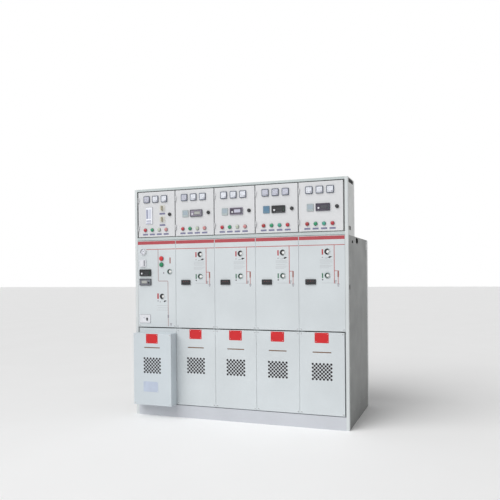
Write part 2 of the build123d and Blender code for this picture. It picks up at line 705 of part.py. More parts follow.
def door_cutouts(bay):
    """The devices' cut-outs in one door."""
    left = bay_left(bay)
    meter_cut = METER_BODY + 2 * CUTOUT_CLEARANCE
    for x in METER_X:
        cut_rectangle(left + x, METER_Z, meter_cut, meter_cut)
    signal_cut = SIGNAL_BODY + 2 * CUTOUT_CLEARANCE
    if bay == 1:
        status_cut = STATUS_BODY_HEIGHT + 2 * CUTOUT_CLEARANCE
        cut_rectangle(left + STATUS_X, STATUS_Z, signal_cut, status_cut)
        for rise in SELECTOR_RISES:
            neck_cut = BUTTON_NECK_RADIUS + CUTOUT_CLEARANCE
            cut_circle(left + SELECTOR_X, MIDDLE_Z + rise, neck_cut)
    else:
        cut_rectangle(left + SIGNAL_X, RELAY_Z, signal_cut, signal_cut)
        cut_rectangle(
            left + RELAY_X,
            RELAY_Z,
            RELAY_BODY_WIDTH + 2 * CUTOUT_CLEARANCE,
            RELAY_BODY_HEIGHT + 2 * CUTOUT_CLEARANCE,
        )
    for x in BUTTON_X:
        cut_circle(left + x, BUTTON_Z, BUTTON_NECK_RADIUS + CUTOUT_CLEARANCE)
    cut_circle(left + LOCK_X, LOCK_Z, LOCK_BARREL_RADIUS + CUTOUT_CLEARANCE)


def door_hinge(hinge_x, z):
    """The door's half of a hinge: a bored barrel and its leaf."""
    z_range = (z + HINGE_SPLIT / 2, z + HINGE_HALF)
    middle = (z_range[0] + z_range[1]) / 2
    with Locations((hinge_x, HINGE_Y, middle)):
        Cylinder(HINGE_RADIUS, z_range[1] - z_range[0])
    slab((hinge_x, hinge_x + HINGE_LEAF_WIDTH), (FRONT - HINGE_LEAF, FRONT), z_range)
    with Locations((hinge_x, HINGE_Y, z_range[0] + HINGE_PIN_LENGTH / 2)):
        Cylinder(
            HINGE_PIN_RADIUS + HINGE_PIN_CLEARANCE,
            HINGE_PIN_LENGTH + HINGE_SPLIT,
            mode=Mode.SUBTRACT,
        )


# One door for each bay, with what is fixed in it
for bay in range(1, BAYS + 1):
    left = bay_left(bay)
    hinge_x = left + HINGE_INSET
    with BuildPart() as box_door:
        tray(
            (left + DOOR_GAP / 2, left + BAY_PITCH - DOOR_GAP / 2),
            (DOOR_BOTTOM, DOOR_TOP),
            DOOR_FOLD,
        )
        door_cutouts(bay)
        for z in HINGE_HEIGHTS:
            door_hinge(hinge_x, z)
    finish(box_door, f"box_door_{bay}")

    with BuildPart() as instruments:
        for x in METER_X:
            square_device(
                left + x,
                METER_Z,
                (METER_SIZE, METER_SIZE),
                (METER_BODY, METER_BODY),
                METER_BODY_DEPTH,
            )
        if bay == 1:
            square_device(
                left + STATUS_X,
                STATUS_Z,
                (STATUS_WIDTH, STATUS_HEIGHT),
                (SIGNAL_BODY, STATUS_BODY_HEIGHT),
                SIGNAL_BODY_DEPTH,
                proud=TEST_PROUD,
            )
        else:
            square_device(
                left + SIGNAL_X,
                RELAY_Z,
                (SIGNAL_WIDTH, SIGNAL_HEIGHT),
                (SIGNAL_BODY, SIGNAL_BODY),
                SIGNAL_BODY_DEPTH,
                proud=TEST_PROUD,
            )
            square_device(
                left + RELAY_X,
                RELAY_Z,
                (RELAY_WIDTH, RELAY_HEIGHT),
                (RELAY_BODY_WIDTH, RELAY_BODY_HEIGHT),
                RELAY_BODY_DEPTH,
            )
    finish(instruments, f"instruments_{bay}")

    with BuildPart() as buttons:
        for x in BUTTON_X:
            round_bar(left + x, BUTTON_Z, BUTTON_RING_RADIUS, (FRONT - BUTTON_RING_PROUD, FRONT))
            fillet(faces(Select.LAST).sort_by(Axis.Y)[0].edges(), BEZEL_EDGE)
            round_bar(left + x, BUTTON_Z, BUTTON_NECK_RADIUS, (FRONT, FRONT + BUTTON_BODY_DEPTH))
            slab(
                (left + x - BUTTON_BLOCK_WIDTH / 2, left + x + BUTTON_BLOCK_WIDTH / 2),
                (FRONT + BUTTON_BODY_DEPTH, FRONT + BUTTON_BODY_DEPTH + BUTTON_BLOCK_DEPTH),
                (BUTTON_Z - BUTTON_BLOCK_HEIGHT / 2, BUTTON_Z + BUTTON_BLOCK_HEIGHT / 2),
            )
    finish(buttons, f"push_buttons_{bay}")

    with BuildPart() as lock:
        round_bar(left + LOCK_X, LOCK_Z, LOCK_RADIUS, (FRONT - LOCK_PROUD, FRONT))
        fillet(faces(Select.LAST).sort_by(Axis.Y)[0].edges(), LOCK_ROUND)
        barrel_end = FRONT + LOCK_BARREL_LENGTH
        round_bar(left + LOCK_X, LOCK_Z, LOCK_BARREL_RADIUS, (FRONT, barrel_end))
        slab(
            (left + LOCK_X - LOCK_CAM_WIDTH / 2, left + LOCK_X + LOCK_CAM_WIDTH / 2),
            (barrel_end, barrel_end + LOCK_CAM_SHEET),
            (LOCK_Z - LOCK_CAM_LENGTH, LOCK_Z + LOCK_CAM_WIDTH / 2),
        )
    finish(lock, f"lock_{bay}")

with BuildPart() as selectors:
    for rise in SELECTOR_RISES:
        x = bay_left(1) + SELECTOR_X
        z = MIDDLE_Z + rise
        with BuildSketch(wall_plane(FRONT)):
            with Locations((x, z)):
                RectangleRounded(SELECTOR_PLATE, SELECTOR_PLATE, BEZEL_CORNER)
        extrude(amount=TEST_PROUD)
        slab(
            (x - SELECTOR_KNOB_WIDTH / 2, x + SELECTOR_KNOB_WIDTH / 2),
            (FRONT - TEST_PROUD - SELECTOR_KNOB_HEIGHT, FRONT - TEST_PROUD),
            (z - SELECTOR_KNOB_LENGTH / 2, z + SELECTOR_KNOB_LENGTH / 2),
        )
        round_bar(x, z, BUTTON_NECK_RADIUS, (FRONT, FRONT + BUTTON_BODY_DEPTH))
        slab(
            (x - BUTTON_BLOCK_WIDTH / 2, x + BUTTON_BLOCK_WIDTH / 2),
            (FRONT + BUTTON_BODY_DEPTH, FRONT + BUTTON_BODY_DEPTH + BUTTON_BLOCK_DEPTH),
            (z - BUTTON_BLOCK_HEIGHT / 2, z + BUTTON_BLOCK_HEIGHT / 2),
        )
finish(selectors, "selector_switches")
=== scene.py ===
# %% [markdown]
# A gas insulated ring main unit, five bays wide, with an instrument box along its top.
# The solids come from the CAD as a fixed frame. This file gives them their finishes, and adds what
# is too fine for the CAD: dials, caps, labels, the mimic diagram, seals and screws. It is laid out
# in cells, so that one piece can be read, changed and tried at a time.

import math

import bmesh
import bpy
from mathutils import Matrix, Vector


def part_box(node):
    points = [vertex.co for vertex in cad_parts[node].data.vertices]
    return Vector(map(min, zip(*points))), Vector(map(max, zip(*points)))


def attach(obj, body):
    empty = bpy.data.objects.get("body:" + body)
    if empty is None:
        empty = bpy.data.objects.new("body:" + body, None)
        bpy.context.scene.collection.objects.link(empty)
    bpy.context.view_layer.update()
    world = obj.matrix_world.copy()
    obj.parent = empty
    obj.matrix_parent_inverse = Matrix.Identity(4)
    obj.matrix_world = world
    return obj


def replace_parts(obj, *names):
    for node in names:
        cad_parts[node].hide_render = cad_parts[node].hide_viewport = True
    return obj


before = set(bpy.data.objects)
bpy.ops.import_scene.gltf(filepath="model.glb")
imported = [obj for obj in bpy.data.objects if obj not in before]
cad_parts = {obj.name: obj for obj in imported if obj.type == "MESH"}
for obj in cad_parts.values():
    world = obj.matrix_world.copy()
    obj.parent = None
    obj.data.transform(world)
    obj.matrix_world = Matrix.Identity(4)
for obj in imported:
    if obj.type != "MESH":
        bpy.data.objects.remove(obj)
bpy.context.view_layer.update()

# %% [markdown]
# Everything on the unit is set out from a few planes: the front skin, the two sides, the back, the
# tops and the line at the left of each bay. They could be typed in, but reading them from the CAD
# boxes keeps each piece on what carries it if a size changes there. Sizes are in millimetres and
# become metres in one place, the class that stands for a flat face of the unit.

# %% Planes and faces
MM = 0.001
BAYS = range(1, 6)
BAY_PITCH = 323.0
FRONT_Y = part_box("front_posts")[0].y
BAY_LINES = {bay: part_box(f"cable_cover_{bay}")[0].x / MM - 1.5 for bay in BAYS}
UNIT_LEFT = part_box("front_posts")[0].x / MM
UNIT_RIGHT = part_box("front_posts")[1].x / MM
PANEL_LOW, PANEL_TOP = (corner.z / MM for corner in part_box("front_panel_2"))
COVER_LOW, COVER_TOP = (corner.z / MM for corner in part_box("cable_cover_2"))
DOOR_LOW, DOOR_TOP = (corner.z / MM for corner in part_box("box_door_2"))
BODY_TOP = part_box("top_panel")[1].z / MM


class Face:
    """A flat face of the unit: U to the right, V up and W outwards, in millimetres."""

    def __init__(self, origin, right, up):
        self.origin = Vector(origin)
        self.right = Vector(right)
        self.up = Vector(up)
        self.out = self.right.cross(self.up)

    def at(self, u, v, w=0.0):
        return self.origin + (self.right * u + self.up * v + self.out * w) * MM


front = Face((0, FRONT_Y, 0), (1, 0, 0), (0, 0, 1))
hood_front = Face((0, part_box("cable_hood_1")[0].y, 0), (1, 0, 0), (0, 0, 1))
right_side = Face((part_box("side_panels")[1].x, FRONT_Y, 0), (0, 1, 0), (0, 0, 1))
left_side = Face((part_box("side_panels")[0].x, FRONT_Y, 0), (0, -1, 0), (0, 0, 1))
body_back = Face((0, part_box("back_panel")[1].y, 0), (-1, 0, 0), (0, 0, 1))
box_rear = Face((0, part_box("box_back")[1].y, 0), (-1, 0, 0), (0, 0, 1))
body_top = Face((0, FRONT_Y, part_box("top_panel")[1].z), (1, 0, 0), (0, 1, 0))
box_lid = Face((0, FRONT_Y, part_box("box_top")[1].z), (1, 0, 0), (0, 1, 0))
print("bay lines:", [round(line, 1) for line in BAY_LINES.values()])

# %% [markdown]
# The camera comes first, so that each later piece can be judged in the frame it will be seen in.
# It stands to the right of the unit at about chest height, and its picture is shifted, as in a
# cropped photograph, in place of being tilted: that keeps the unit's uprights nearly parallel.
# Its place was found by fitting the corners of the unit's box.

# %% Camera
CAMERA_PLACE = (1.58894, -4.37764, 1.09072)
CAMERA_YAW = math.radians(20.0038)
CAMERA_PITCH = math.radians(0.4353)
CAMERA_ROLL = math.radians(-0.5531)
PICTURE_WIDTH = 500
FOCAL_PIXELS = 586.08
SENSOR_WIDTH = 36.0
PICTURE_SHIFT = (-0.00413, 0.05558)

across = Vector((math.cos(CAMERA_YAW), math.sin(CAMERA_YAW), 0))
level = Vector((-math.sin(CAMERA_YAW), math.cos(CAMERA_YAW), 0))
upright = Vector((0, 0, 1))
ahead = level * math.cos(CAMERA_PITCH) - upright * math.sin(CAMERA_PITCH)
above = upright * math.cos(CAMERA_PITCH) + level * math.sin(CAMERA_PITCH)
camera_x = across * math.cos(CAMERA_ROLL) + above * math.sin(CAMERA_ROLL)
camera_y = above * math.cos(CAMERA_ROLL) - across * math.sin(CAMERA_ROLL)

camera = bpy.data.objects.new("camera", bpy.data.cameras.new("camera"))
bpy.context.scene.collection.objects.link(camera)
turn = Matrix((camera_x, camera_y, -ahead)).transposed().to_4x4()
camera.matrix_world = Matrix.Translation(CAMERA_PLACE) @ turn
camera.data.sensor_width = SENSOR_WIDTH
camera.data.lens = FOCAL_PIXELS * SENSOR_WIDTH / PICTURE_WIDTH
camera.data.shift_x, camera.data.shift_y = PICTURE_SHIFT
camera.data.clip_end = 200
bpy.context.scene.camera = camera
print("lens", round(camera.data.lens, 2), "mm")

# %% [markdown]
# The studio is a pale floor, a pale surround and two soft lamps. The unit is matt painted sheet, so
# its shape reads from which way each face looks. The main lamp is a sun with a wide disc, high in
# front and to the left: it lights the floor evenly however far away, and its shadow has soft edges.
# A large panel in front lifts the upper half a little. The surround is white to the camera and in
# gloss and glass, but gives off less light than that, because a fully white surround would wash
# the shadows out.

# %% Studio
SURROUND_LIGHT = 0.34
FLOOR_REACH = 40.0
KEY_POWER = 1.85
KEY_DISC = math.radians(52)
FRONT_POWER = 42.0
FRONT_SIZE = 2.4


def make_surround():
    world = bpy.data.worlds.new("surround")
    bpy.context.scene.world = world
    world.use_nodes = True
    nodes, links = world.node_tree.nodes, world.node_tree.links
    background = nodes["Background"]
    background.inputs["Color"].default_value = (1, 1, 1, 1)
    path = nodes.new("ShaderNodeLightPath")
    seen = path.outputs["Is Camera Ray"]
    for other in ("Is Glossy Ray", "Is Transmission Ray"):
        either = nodes.new("ShaderNodeMath")
        either.operation = "MAXIMUM"
        links.new(seen, either.inputs[0])
        links.new(path.outputs[other], either.inputs[1])
        seen = either.outputs[0]
    strength = nodes.new("ShaderNodeMapRange")
    strength.inputs["To Min"].default_value = SURROUND_LIGHT
    strength.inputs["To Max"].default_value = 1.0
    links.new(seen, strength.inputs["Value"])
    links.new(strength.outputs["Result"], background.inputs["Strength"])


def soft_lamp(name, kind, place, aim, power):
    lamp = bpy.data.objects.new(name, bpy.data.lights.new(name, kind))
    lamp.data.energy = power
    lamp.location = place
    lamp.rotation_euler = (Vector(aim) - Vector(place)).to_track_quat("-Z", "Y").to_euler()
    bpy.context.scene.collection.objects.link(lamp)
    return lamp.data


def make_floor():
    mesh = bpy.data.meshes.new("studio_floor")
    signs = ((-1, -1), (1, -1), (1, 1), (-1, 1))
    mesh.from_pydata([(x * FLOOR_REACH, y * FLOOR_REACH, 0) for x, y in signs], [], [(0, 1, 2, 3)])
    floor = bpy.data.objects.new("studio_floor", mesh)
    bpy.context.scene.collection.objects.link(floor)
    return floor


bpy.context.scene.view_settings.view_transform = "Standard"
make_surround()
studio_floor = make_floor()
key_lamp = soft_lamp("key_lamp", "SUN", (-2.6, -3.6, 5.2), (0, 0, 0.8), KEY_POWER)
key_lamp.angle = KEY_DISC
front_lamp = soft_lamp("front_lamp", "AREA", (-0.6, -4.6, 4.2), (0, -0.4, 1.9), FRONT_POWER)
front_lamp.size = FRONT_SIZE
print("studio ready")

# %% [markdown]
# A painted, plated or moulded surface is never one flat colour: paint mottles a little and has a
# fine orange peel, zinc has spangles, plastic has a fine grain. Each finish below starts as one
# Principled shader. A small class adds the nodes that most of them share: noise on Object
# coordinates, a mottle of the colour, a range of roughness and a relief.

# %% Finish maker


def linear(colour):
    """A colour as it looks on a screen, 0 to 255, turned into what the shader takes."""
    parts = [value / 255 for value in colour]
    toe = [value / 12.92 for value in parts]
    rest = [((value + 0.055) / 1.055) ** 2.4 for value in parts]
    return (*(low if part <= 0.04045 else high for part, low, high in zip(parts, toe, rest)), 1.0)


class Finish:
    def __init__(self, name, colour, roughness=0.5, metallic=0.0):
        self.material = bpy.data.materials.new(name)
        self.material.use_nodes = True
        self.nodes = self.material.node_tree.nodes
        self.links = self.material.node_tree.links
        self.shader = self.nodes["Principled BSDF"]
        self.colour = colour
        self.set("Base Color", linear(colour))
        self.set("Roughness", roughness)
        self.set("Metallic", metallic)
        self.place = self.nodes.new("ShaderNodeTexCoord").outputs["Object"]
        self.normal = None

    def set(self, socket, value):
        self.shader.inputs[socket].default_value = value

    def noise(self, scale, detail=2.0, stretch=(1, 1, 1)):
        mapping = self.nodes.new("ShaderNodeMapping")
        mapping.inputs["Scale"].default_value = [scale * part for part in stretch]
        texture = self.nodes.new("ShaderNodeTexNoise")
        texture.inputs["Scale"].default_value = 1.0
        texture.inputs["Detail"].default_value = detail
        self.links.new(self.place, mapping.inputs["Vector"])
        self.links.new(mapping.outputs["Vector"], texture.inputs["Vector"])
        return texture.outputs["Fac"]

    def spread(self, pattern, low, high, pattern_low=0.3, pattern_high=0.7):
        """Maps a pattern's usual range to a range of values."""
        remap = self.nodes.new("ShaderNodeMapRange")
        remap.inputs["From Min"].default_value = pattern_low
        remap.inputs["From Max"].default_value = pattern_high
        remap.inputs["To Min"].default_value = low
        remap.inputs["To Max"].default_value = high
        self.links.new(pattern, remap.inputs["Value"])
        return remap.outputs["Result"]

    def mottle(self, pattern, amount):
        """Varies the colour a little, darker and lighter, by a pattern."""
        mix = self.nodes.new("ShaderNodeMix")
        mix.data_type = "RGBA"
        darker = [value * (1 - amount) for value in self.colour]
        lighter = [min(255, value * (1 + amount)) for value in self.colour]
        mix.inputs["A"].default_value = linear(darker)
        mix.inputs["B"].default_value = linear(lighter)
        self.links.new(self.spread(pattern, 0.0, 1.0), mix.inputs["Factor"])
        self.links.new(mix.outputs["Result"], self.shader.inputs["Base Color"])

    def roughen(self, pattern, low, high):
        self.links.new(self.spread(pattern, low, high), self.shader.inputs["Roughness"])

    def relief(self, pattern, depth_mm, strength=1.0):
        bump = self.nodes.new("ShaderNodeBump")
        bump.inputs["Distance"].default_value = depth_mm * MM
        bump.inputs["Strength"].default_value = strength
        self.links.new(pattern, bump.inputs["Height"])
        if self.normal:
            self.links.new(self.normal, bump.inputs["Normal"])
        self.normal = bump.outputs["Normal"]
        self.links.new(self.normal, self.shader.inputs["Normal"])


# %% [markdown]
# The skin of the unit is powder coated sheet. Baked powder flows into a fine orange peel about a
# millimetre or two across and a few hundredths deep, and its gloss drifts over a sheet as the coat
# gets thicker and thinner. The same recipe serves every painted part, with the grey of each one.
# The floor is a plain matt white of its own.

# %% Paint


def powder_coat(name, colour, roughness=0.42):
    coat = Finish(name, colour, roughness)
    coat.mottle(coat.noise(3.0, 3.0), 0.018)
    coat.roughen(coat.noise(9.0, 3.0), roughness - 0.05, roughness + 0.07)
    coat.relief(coat.noise(620.0, 1.0), 0.05, 0.35)
    coat.set("Specular IOR Level", 0.45)
    return coat.material


panel_coat = powder_coat("panel_coat", (205, 211, 214))
cover_coat = powder_coat("cover_coat", (205, 211, 214))
hood_coat = powder_coat("hood_coat", (200, 208, 213))
door_coat = powder_coat("door_coat", (212, 213, 215))
box_coat = powder_coat("box_coat", (211, 213, 212))
plinth_coat = powder_coat("plinth_coat", (196, 199, 205), 0.5)
post_coat = powder_coat("post_coat", (208, 213, 214))
rail_coat = powder_coat("rail_coat", (188, 197, 197))
rear_post_coat = powder_coat("rear_post_coat", (222, 225, 225))
# Painted shade: the sides, back and top take a grey far darker than the front's paint, to stand in for
# the shade that falls on the sides.
side_coat_with_painted_shade = powder_coat("side_coat_with_painted_shade", (132, 134, 133), 0.48)
floor_coat = Finish("floor_coat", (250, 250, 250), 0.7)
floor_coat.mottle(floor_coat.noise(1.5, 2.0), 0.004)
studio_floor.data.materials.append(floor_coat.material)

# %% [markdown]
# Behind the skin the frame is bare galvanised steel: zinc freezes into flat crystals, each of
# which reflects a little differently. A Voronoi pattern gives each cell its own value, and that
# drives both the colour and the roughness, so a spangle changes with the light as the real ones do.

# %% Metals


def galvanised_steel(name, colour, spangle=90.0):
    zinc = Finish(name, colour, 0.45, 0.85)
    cells = zinc.nodes.new("ShaderNodeTexVoronoi")
    cells.inputs["Scale"].default_value = spangle
    zinc.links.new(zinc.place, cells.inputs["Vector"])
    value = zinc.nodes.new("ShaderNodeSeparateColor")
    zinc.links.new(cells.outputs["Color"], value.inputs["Color"])
    zinc.mottle(value.outputs["Red"], 0.05)
    zinc.roughen(value.outputs["Green"], 0.36, 0.56)
    zinc.relief(zinc.noise(400.0), 0.02, 0.3)
    return zinc.material


def brushed_metal(name, colour, roughness, stretch=(1, 1, 30)):
    metal = Finish(name, colour, roughness, 1.0)
    grain = metal.noise(60.0, 4.0, stretch)
    metal.mottle(grain, 0.04)
    metal.roughen(grain, roughness - 0.06, roughness + 0.08)
    metal.relief(grain, 0.02, 0.25)
    return metal.material


galvanised = galvanised_steel("galvanised", (178, 182, 184))
tank_steel = brushed_metal("tank_steel", (176, 178, 178), 0.36, (30, 30, 1))
nickel = brushed_metal("nickel", (205, 206, 208), 0.24, (8, 1, 8))

# %% [markdown]
# The moulded parts are glass filled plastic with a spark eroded grain, coloured lens plastic with
# a smooth gloss, and rubber. They differ in roughness and in how fine and deep the grain is, so
# one recipe takes both as sizes.

# %% Plastics


def moulded(name, colour, roughness=0.45, grain_mm=0.02):
    plastic = Finish(name, colour, roughness)
    plastic.mottle(plastic.noise(40.0, 2.0), 0.03)
    plastic.roughen(plastic.noise(70.0, 2.0), roughness - 0.04, roughness + 0.06)
    plastic.relief(plastic.noise(1500.0, 1.0), grain_mm, 0.4)
    return plastic.material


def lens_plastic(name, colour):
    lens = Finish(name, colour, 0.3)
    lens.mottle(lens.noise(120.0, 1.0), 0.05)
    lens.set("Coat Weight", 0.2)
    lens.set("Coat Roughness", 0.15)
    lens.set("Subsurface Weight", 0.15)
    lens.set("Subsurface Radius", (0.004, 0.004, 0.004))
    return lens.material


black_plastic = moulded("black_plastic", (24, 25, 28), 0.5)
frame_plastic = moulded("frame_plastic", (72, 80, 98), 0.5)
grey_plastic = moulded("grey_plastic", (120, 122, 130), 0.42)
violet_plastic = moulded("violet_plastic", (64, 57, 72), 0.5)
pale_plastic = moulded("pale_plastic", (220, 221, 226), 0.45)
ring_plastic = moulded("ring_plastic", (92, 92, 100), 0.45)
mauve_plastic = moulded("mauve_plastic", (142, 134, 150), 0.5)
putty_plastic = moulded("putty_plastic", (210, 209, 202), 0.45)
blue_plastic = moulded("blue_plastic", (96, 130, 154), 0.4)
mist_plastic = moulded("mist_plastic", (172, 182, 184), 0.45)
rubber = moulded("rubber", (20, 20, 21), 0.9, 0.08)
red_lens = lens_plastic("red_lens", (176, 44, 56))
brick_lens = lens_plastic("brick_lens", (158, 44, 46))
green_lens = lens_plastic("green_lens", (38, 140, 98))
teal_lens = lens_plastic("teal_lens", (60, 150, 130))
mist_lens = lens_plastic("mist_lens", (180, 188, 172))
rose_lens = lens_plastic("rose_lens", (192, 132, 132))

# %% [markdown]
# Print, film and glass: the dials are printed card, the bands and labels are film or enamelled
# plate, and the panes are thin glass. Film and enamel have a clear top layer over the colour, so
# they use the shader's coat.

# %% Print, enamel and glass


def film(name, colour, roughness=0.34, coat=0.3):
    sheet = Finish(name, colour, roughness)
    sheet.mottle(sheet.noise(25.0, 2.0), 0.02)
    sheet.roughen(sheet.noise(60.0, 2.0), roughness - 0.05, roughness + 0.06)
    sheet.set("Coat Weight", coat)
    sheet.set("Coat Roughness", 0.12)
    return sheet.material


band_red = film("band_red", (170, 66, 74), 0.45, 0.1)
placard_red = film("placard_red", (200, 20, 28), 0.5, 0.05)
mimic_red = film("mimic_red", (176, 96, 94), 0.45, 0.1)
label_red = film("label_red", (172, 58, 62), 0.5, 0.0)
label_green = film("label_green", (54, 108, 80), 0.5, 0.0)
label_brown = film("label_brown", (150, 92, 84), 0.5, 0.0)
dial_white = film("dial_white", (232, 234, 240), 0.5, 0.0)
dial_grey = film("dial_grey", (190, 190, 206), 0.5, 0.0)
screen_dark = film("screen_dark", (70, 70, 78), 0.3, 0.2)
screen_black = film("screen_black", (34, 36, 40), 0.3, 0.2)
screen_pale = film("screen_pale", (168, 170, 166), 0.3, 0.2)
ink = film("ink", (32, 33, 36), 0.5, 0.0)
rule_grey = film("rule_grey", (178, 180, 184), 0.5, 0.0)
mimic_grey = film("mimic_grey", (164, 140, 140), 0.5, 0.0)
filter_mat = moulded("filter_mat", (56, 50, 54), 0.9, 0.3)
slot_brown = film("slot_brown", (150, 116, 92), 0.5, 0.1)
rail_plate = film("rail_plate", (184, 194, 212), 0.4, 0.2)


def clear_pane(name):
    pane = Finish(name, (236, 240, 246), 0.06)
    pane.set("Alpha", 0.16)
    pane.relief(pane.noise(8.0, 1.0), 0.02, 0.1)
    return pane.material


pane_glass = clear_pane("pane_glass")
print("finishes:", len(bpy.data.materials))

# %% [markdown]
# Each CAD node keeps its shape and gets the finish of the real part. The slots of the record are
# too coarse for this, since paint of one colour is a little different on a door, a panel and a
# plinth, so the finish is chosen by the node's name.

# %% Finishes of the CAD nodes
NODE_FINISHES = {
    "plinth": plinth_coat,
    "front_posts": post_coat,
    "rear_posts": rear_post_coat,
    "box_rear_posts": rear_post_coat,
    "side_panels": side_coat_with_painted_shade,
    "back_panel": side_coat_with_painted_shade,
    "top_panel": side_coat_with_painted_shade,
    "uprights": post_coat,
    "tank_rails": galvanised,
    "gas_tank": tank_steel,
    "sill_rail": rail_coat,
    "head_rail": rail_coat,
    "box_floor": galvanised,
    "box_top": box_coat,
    "box_back": box_coat,
    "box_sides": box_coat,
    "mullions": box_coat,
    "hinge_pins": nickel,
    "side_plugs": rubber,
    "operating_sockets": post_coat,
    "voltage_indicators": black_plastic,
    "protection_relays": black_plastic,
    "pressure_gauge": nickel,
    "operation_counter": pale_plastic,
    "breaker_buttons": black_plastic,
    "test_panel": pale_plastic,
    "selector_switches": putty_plastic,
    "cable_hood_1": hood_coat,
}
FAMILY_FINISHES = {
    "front_panel": panel_coat,
    "cable_cover": cover_coat,
    "box_door": door_coat,
    "instruments": frame_plastic,
    "push_buttons": ring_plastic,
    "lock": black_plastic,
}


def dress_nodes():
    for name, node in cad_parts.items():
        material = NODE_FINISHES.get(name) or FAMILY_FINISHES[name.rsplit("_", 1)[0]]
        for slot in node.material_slots:
            slot.material = material


dress_nodes()
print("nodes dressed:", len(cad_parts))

# %% [markdown]
# Most added pieces are small plates, rings and turned parts on a face of the unit. They are built
# as closed shells, point by point, so that every edge can carry its own small bevel: a bevel is
# what catches the light and tells the eye how big a part is. Each helper adds one shell to a
# bmesh, and one last helper turns the bmesh into a piece on its body.

# %% Mesh helpers
CORNER_STEPS = 4


def rounded(width, height, corner):
    """The points of a rectangle with round corners, anticlockwise round its middle."""
    corner = max(0.02, min(corner, width / 2 - 0.01, height / 2 - 0.01))
    points = []
    for quarter, (side_u, side_v) in enumerate(((1, 1), (-1, 1), (-1, -1), (1, -1))):
        middle_u = side_u * (width / 2 - corner)
        middle_v = side_v * (height / 2 - corner)
        for step in range(CORNER_STEPS + 1):
            angle = math.radians(90 * quarter + 90 * step / CORNER_STEPS)
            across_u, along_v = corner * math.cos(angle), corner * math.sin(angle)
            points.append((middle_u + across_u, middle_v + along_v))
    return points


def circle(radius, steps):
    turns = [2 * math.pi * step / steps for step in range(steps)]
    return [(radius * math.cos(angle), radius * math.sin(angle)) for angle in turns]


def add_loop(shell, face, u, v, w, points):
    return [shell.verts.new(face.at(u + du, v + dv, w)) for du, dv in points]


def join_loops(shell, first, second):
    for i in range(len(first)):
        j = (i + 1) % len(first)
        shell.faces.new((first[i], first[j], second[j], second[i]))


def add_plate(shell, face, u, v, width, height, base, thick, corner=1.0, edge=0.3):
    """A plate with round corners and a small bevel round its front."""
    loops = []
    for inset, w in ((0, base), (0, base + thick - edge), (edge, base + thick)):
        outline = rounded(width - 2 * inset, height - 2 * inset, corner - inset)
        loops.append(add_loop(shell, face, u, v, w, outline))
    for first, second in zip(loops, loops[1:]):
        join_loops(shell, first, second)
    shell.faces.new(loops[-1])
    shell.faces.new(loops[0][::-1])


def add_surround(shell, face, u, v, width, height, border, base, thick, corner=2.0, edge=0.5):
    """A rectangular ring: the frame round a dial or a screen."""
    steps = (
        (0, base),
        (0, base + thick - edge),
        (edge, base + thick),
        (border - edge, base + thick),
        (border, base + thick - edge),
        (border, base),
    )
    loops = []
    for inset, w in steps:
        outline = rounded(width - 2 * inset, height - 2 * inset, corner - 0.6 * inset)
        loops.append(add_loop(shell, face, u, v, w, outline))
    for first, second in zip(loops, loops[1:] + loops[:1]):
        join_loops(shell, first, second)


def add_stack(shell, face, u, v, stack):
    """A closed shell through a stack of outlines and heights; an empty outline is a point."""
    loops = []
    for outline, w in stack:
        loops.append(add_loop(shell, face, u, v, w, outline or [(0, 0)]))
    for first, second in zip(loops, loops[1:]):
        if len(first) == 1:
            first, second = second, first
        if len(second) == 1:
            for i in range(len(first)):
                shell.faces.new((first[i], first[(i + 1) % len(first)], second[0]))
        else:
            join_loops(shell, first, second)
    for end in (loops[0], loops[-1]):
        if len(end) > 1:
            shell.faces.new(end)


def add_turned(shell, face, u, v, profile, steps=32):
    """A turned part: a profile of radii and heights, spun round an axis out of the face."""
    stack = [(circle(radius, steps) if radius else None, w) for radius, w in profile]
    add_stack(shell, face, u, v, stack)


def add_bar(shell, face, start, finish, width, base, thick):
    """A flat bar between two points of a face."""
    (u0, v0), (u1, v1) = start, finish
    run = Vector((u1 - u0, v1 - v0)).normalized() * width / 2
    corners = [(u0 + run.y, v0 - run.x), (u1 + run.y, v1 - run.x)]
    corners += [(u1 - run.y, v1 + run.x), (u0 - run.y, v0 + run.x)]
    low = add_loop(shell, face, 0, 0, base, corners)
    high = add_loop(shell, face, 0, 0, base + thick, corners)
    join_loops(shell, low, high)
    shell.faces.new(high)
    shell.faces.new(low[::-1])


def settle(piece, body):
    """Says what a finished piece moves with."""
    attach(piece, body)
    return piece


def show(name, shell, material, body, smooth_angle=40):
    """Turns a bmesh into a piece of the unit."""
    bmesh.ops.recalc_face_normals(shell, faces=shell.faces)
    mesh = bpy.data.meshes.new(name)
    shell.to_mesh(mesh)
    shell.free()
    mesh.materials.append(material)
    mesh.shade_smooth()
    mesh.set_sharp_from_angle(angle=math.radians(smooth_angle))
    piece = bpy.data.objects.new(name, mesh)
    bpy.context.scene.collection.objects.link(piece)
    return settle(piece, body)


ROOT = "switchgear"
print("mesh helpers ready")

# %% [markdown]
# Screws, rivets, keys and lamps repeat dozens of times, so a node tree places them. It takes a
# mesh of bare points, each with the direction it faces, sets one head on every point, and turns
# each head by its own random angle from a fixed seed, as screws are never all turned alike.
# The result is realised and made a plain mesh, since the export knows no instances.

# %% Geometry Nodes: heads on points


def new_tree(name, inputs):
    """An empty tree with a geometry socket each way, and named inputs."""
    tree = bpy.data.node_groups.new(name, "GeometryNodeTree")
    tree.interface.new_socket("Geometry", in_out="INPUT", socket_type="NodeSocketGeometry")
    for label, kind in inputs:
        tree.interface.new_socket(label, in_out="INPUT", socket_type=f"NodeSocket{kind}")
    tree.interface.new_socket("Geometry", in_out="OUTPUT", socket_type="NodeSocketGeometry")
    return tree, tree.nodes.new("NodeGroupInput"), tree.nodes.new("NodeGroupOutput")


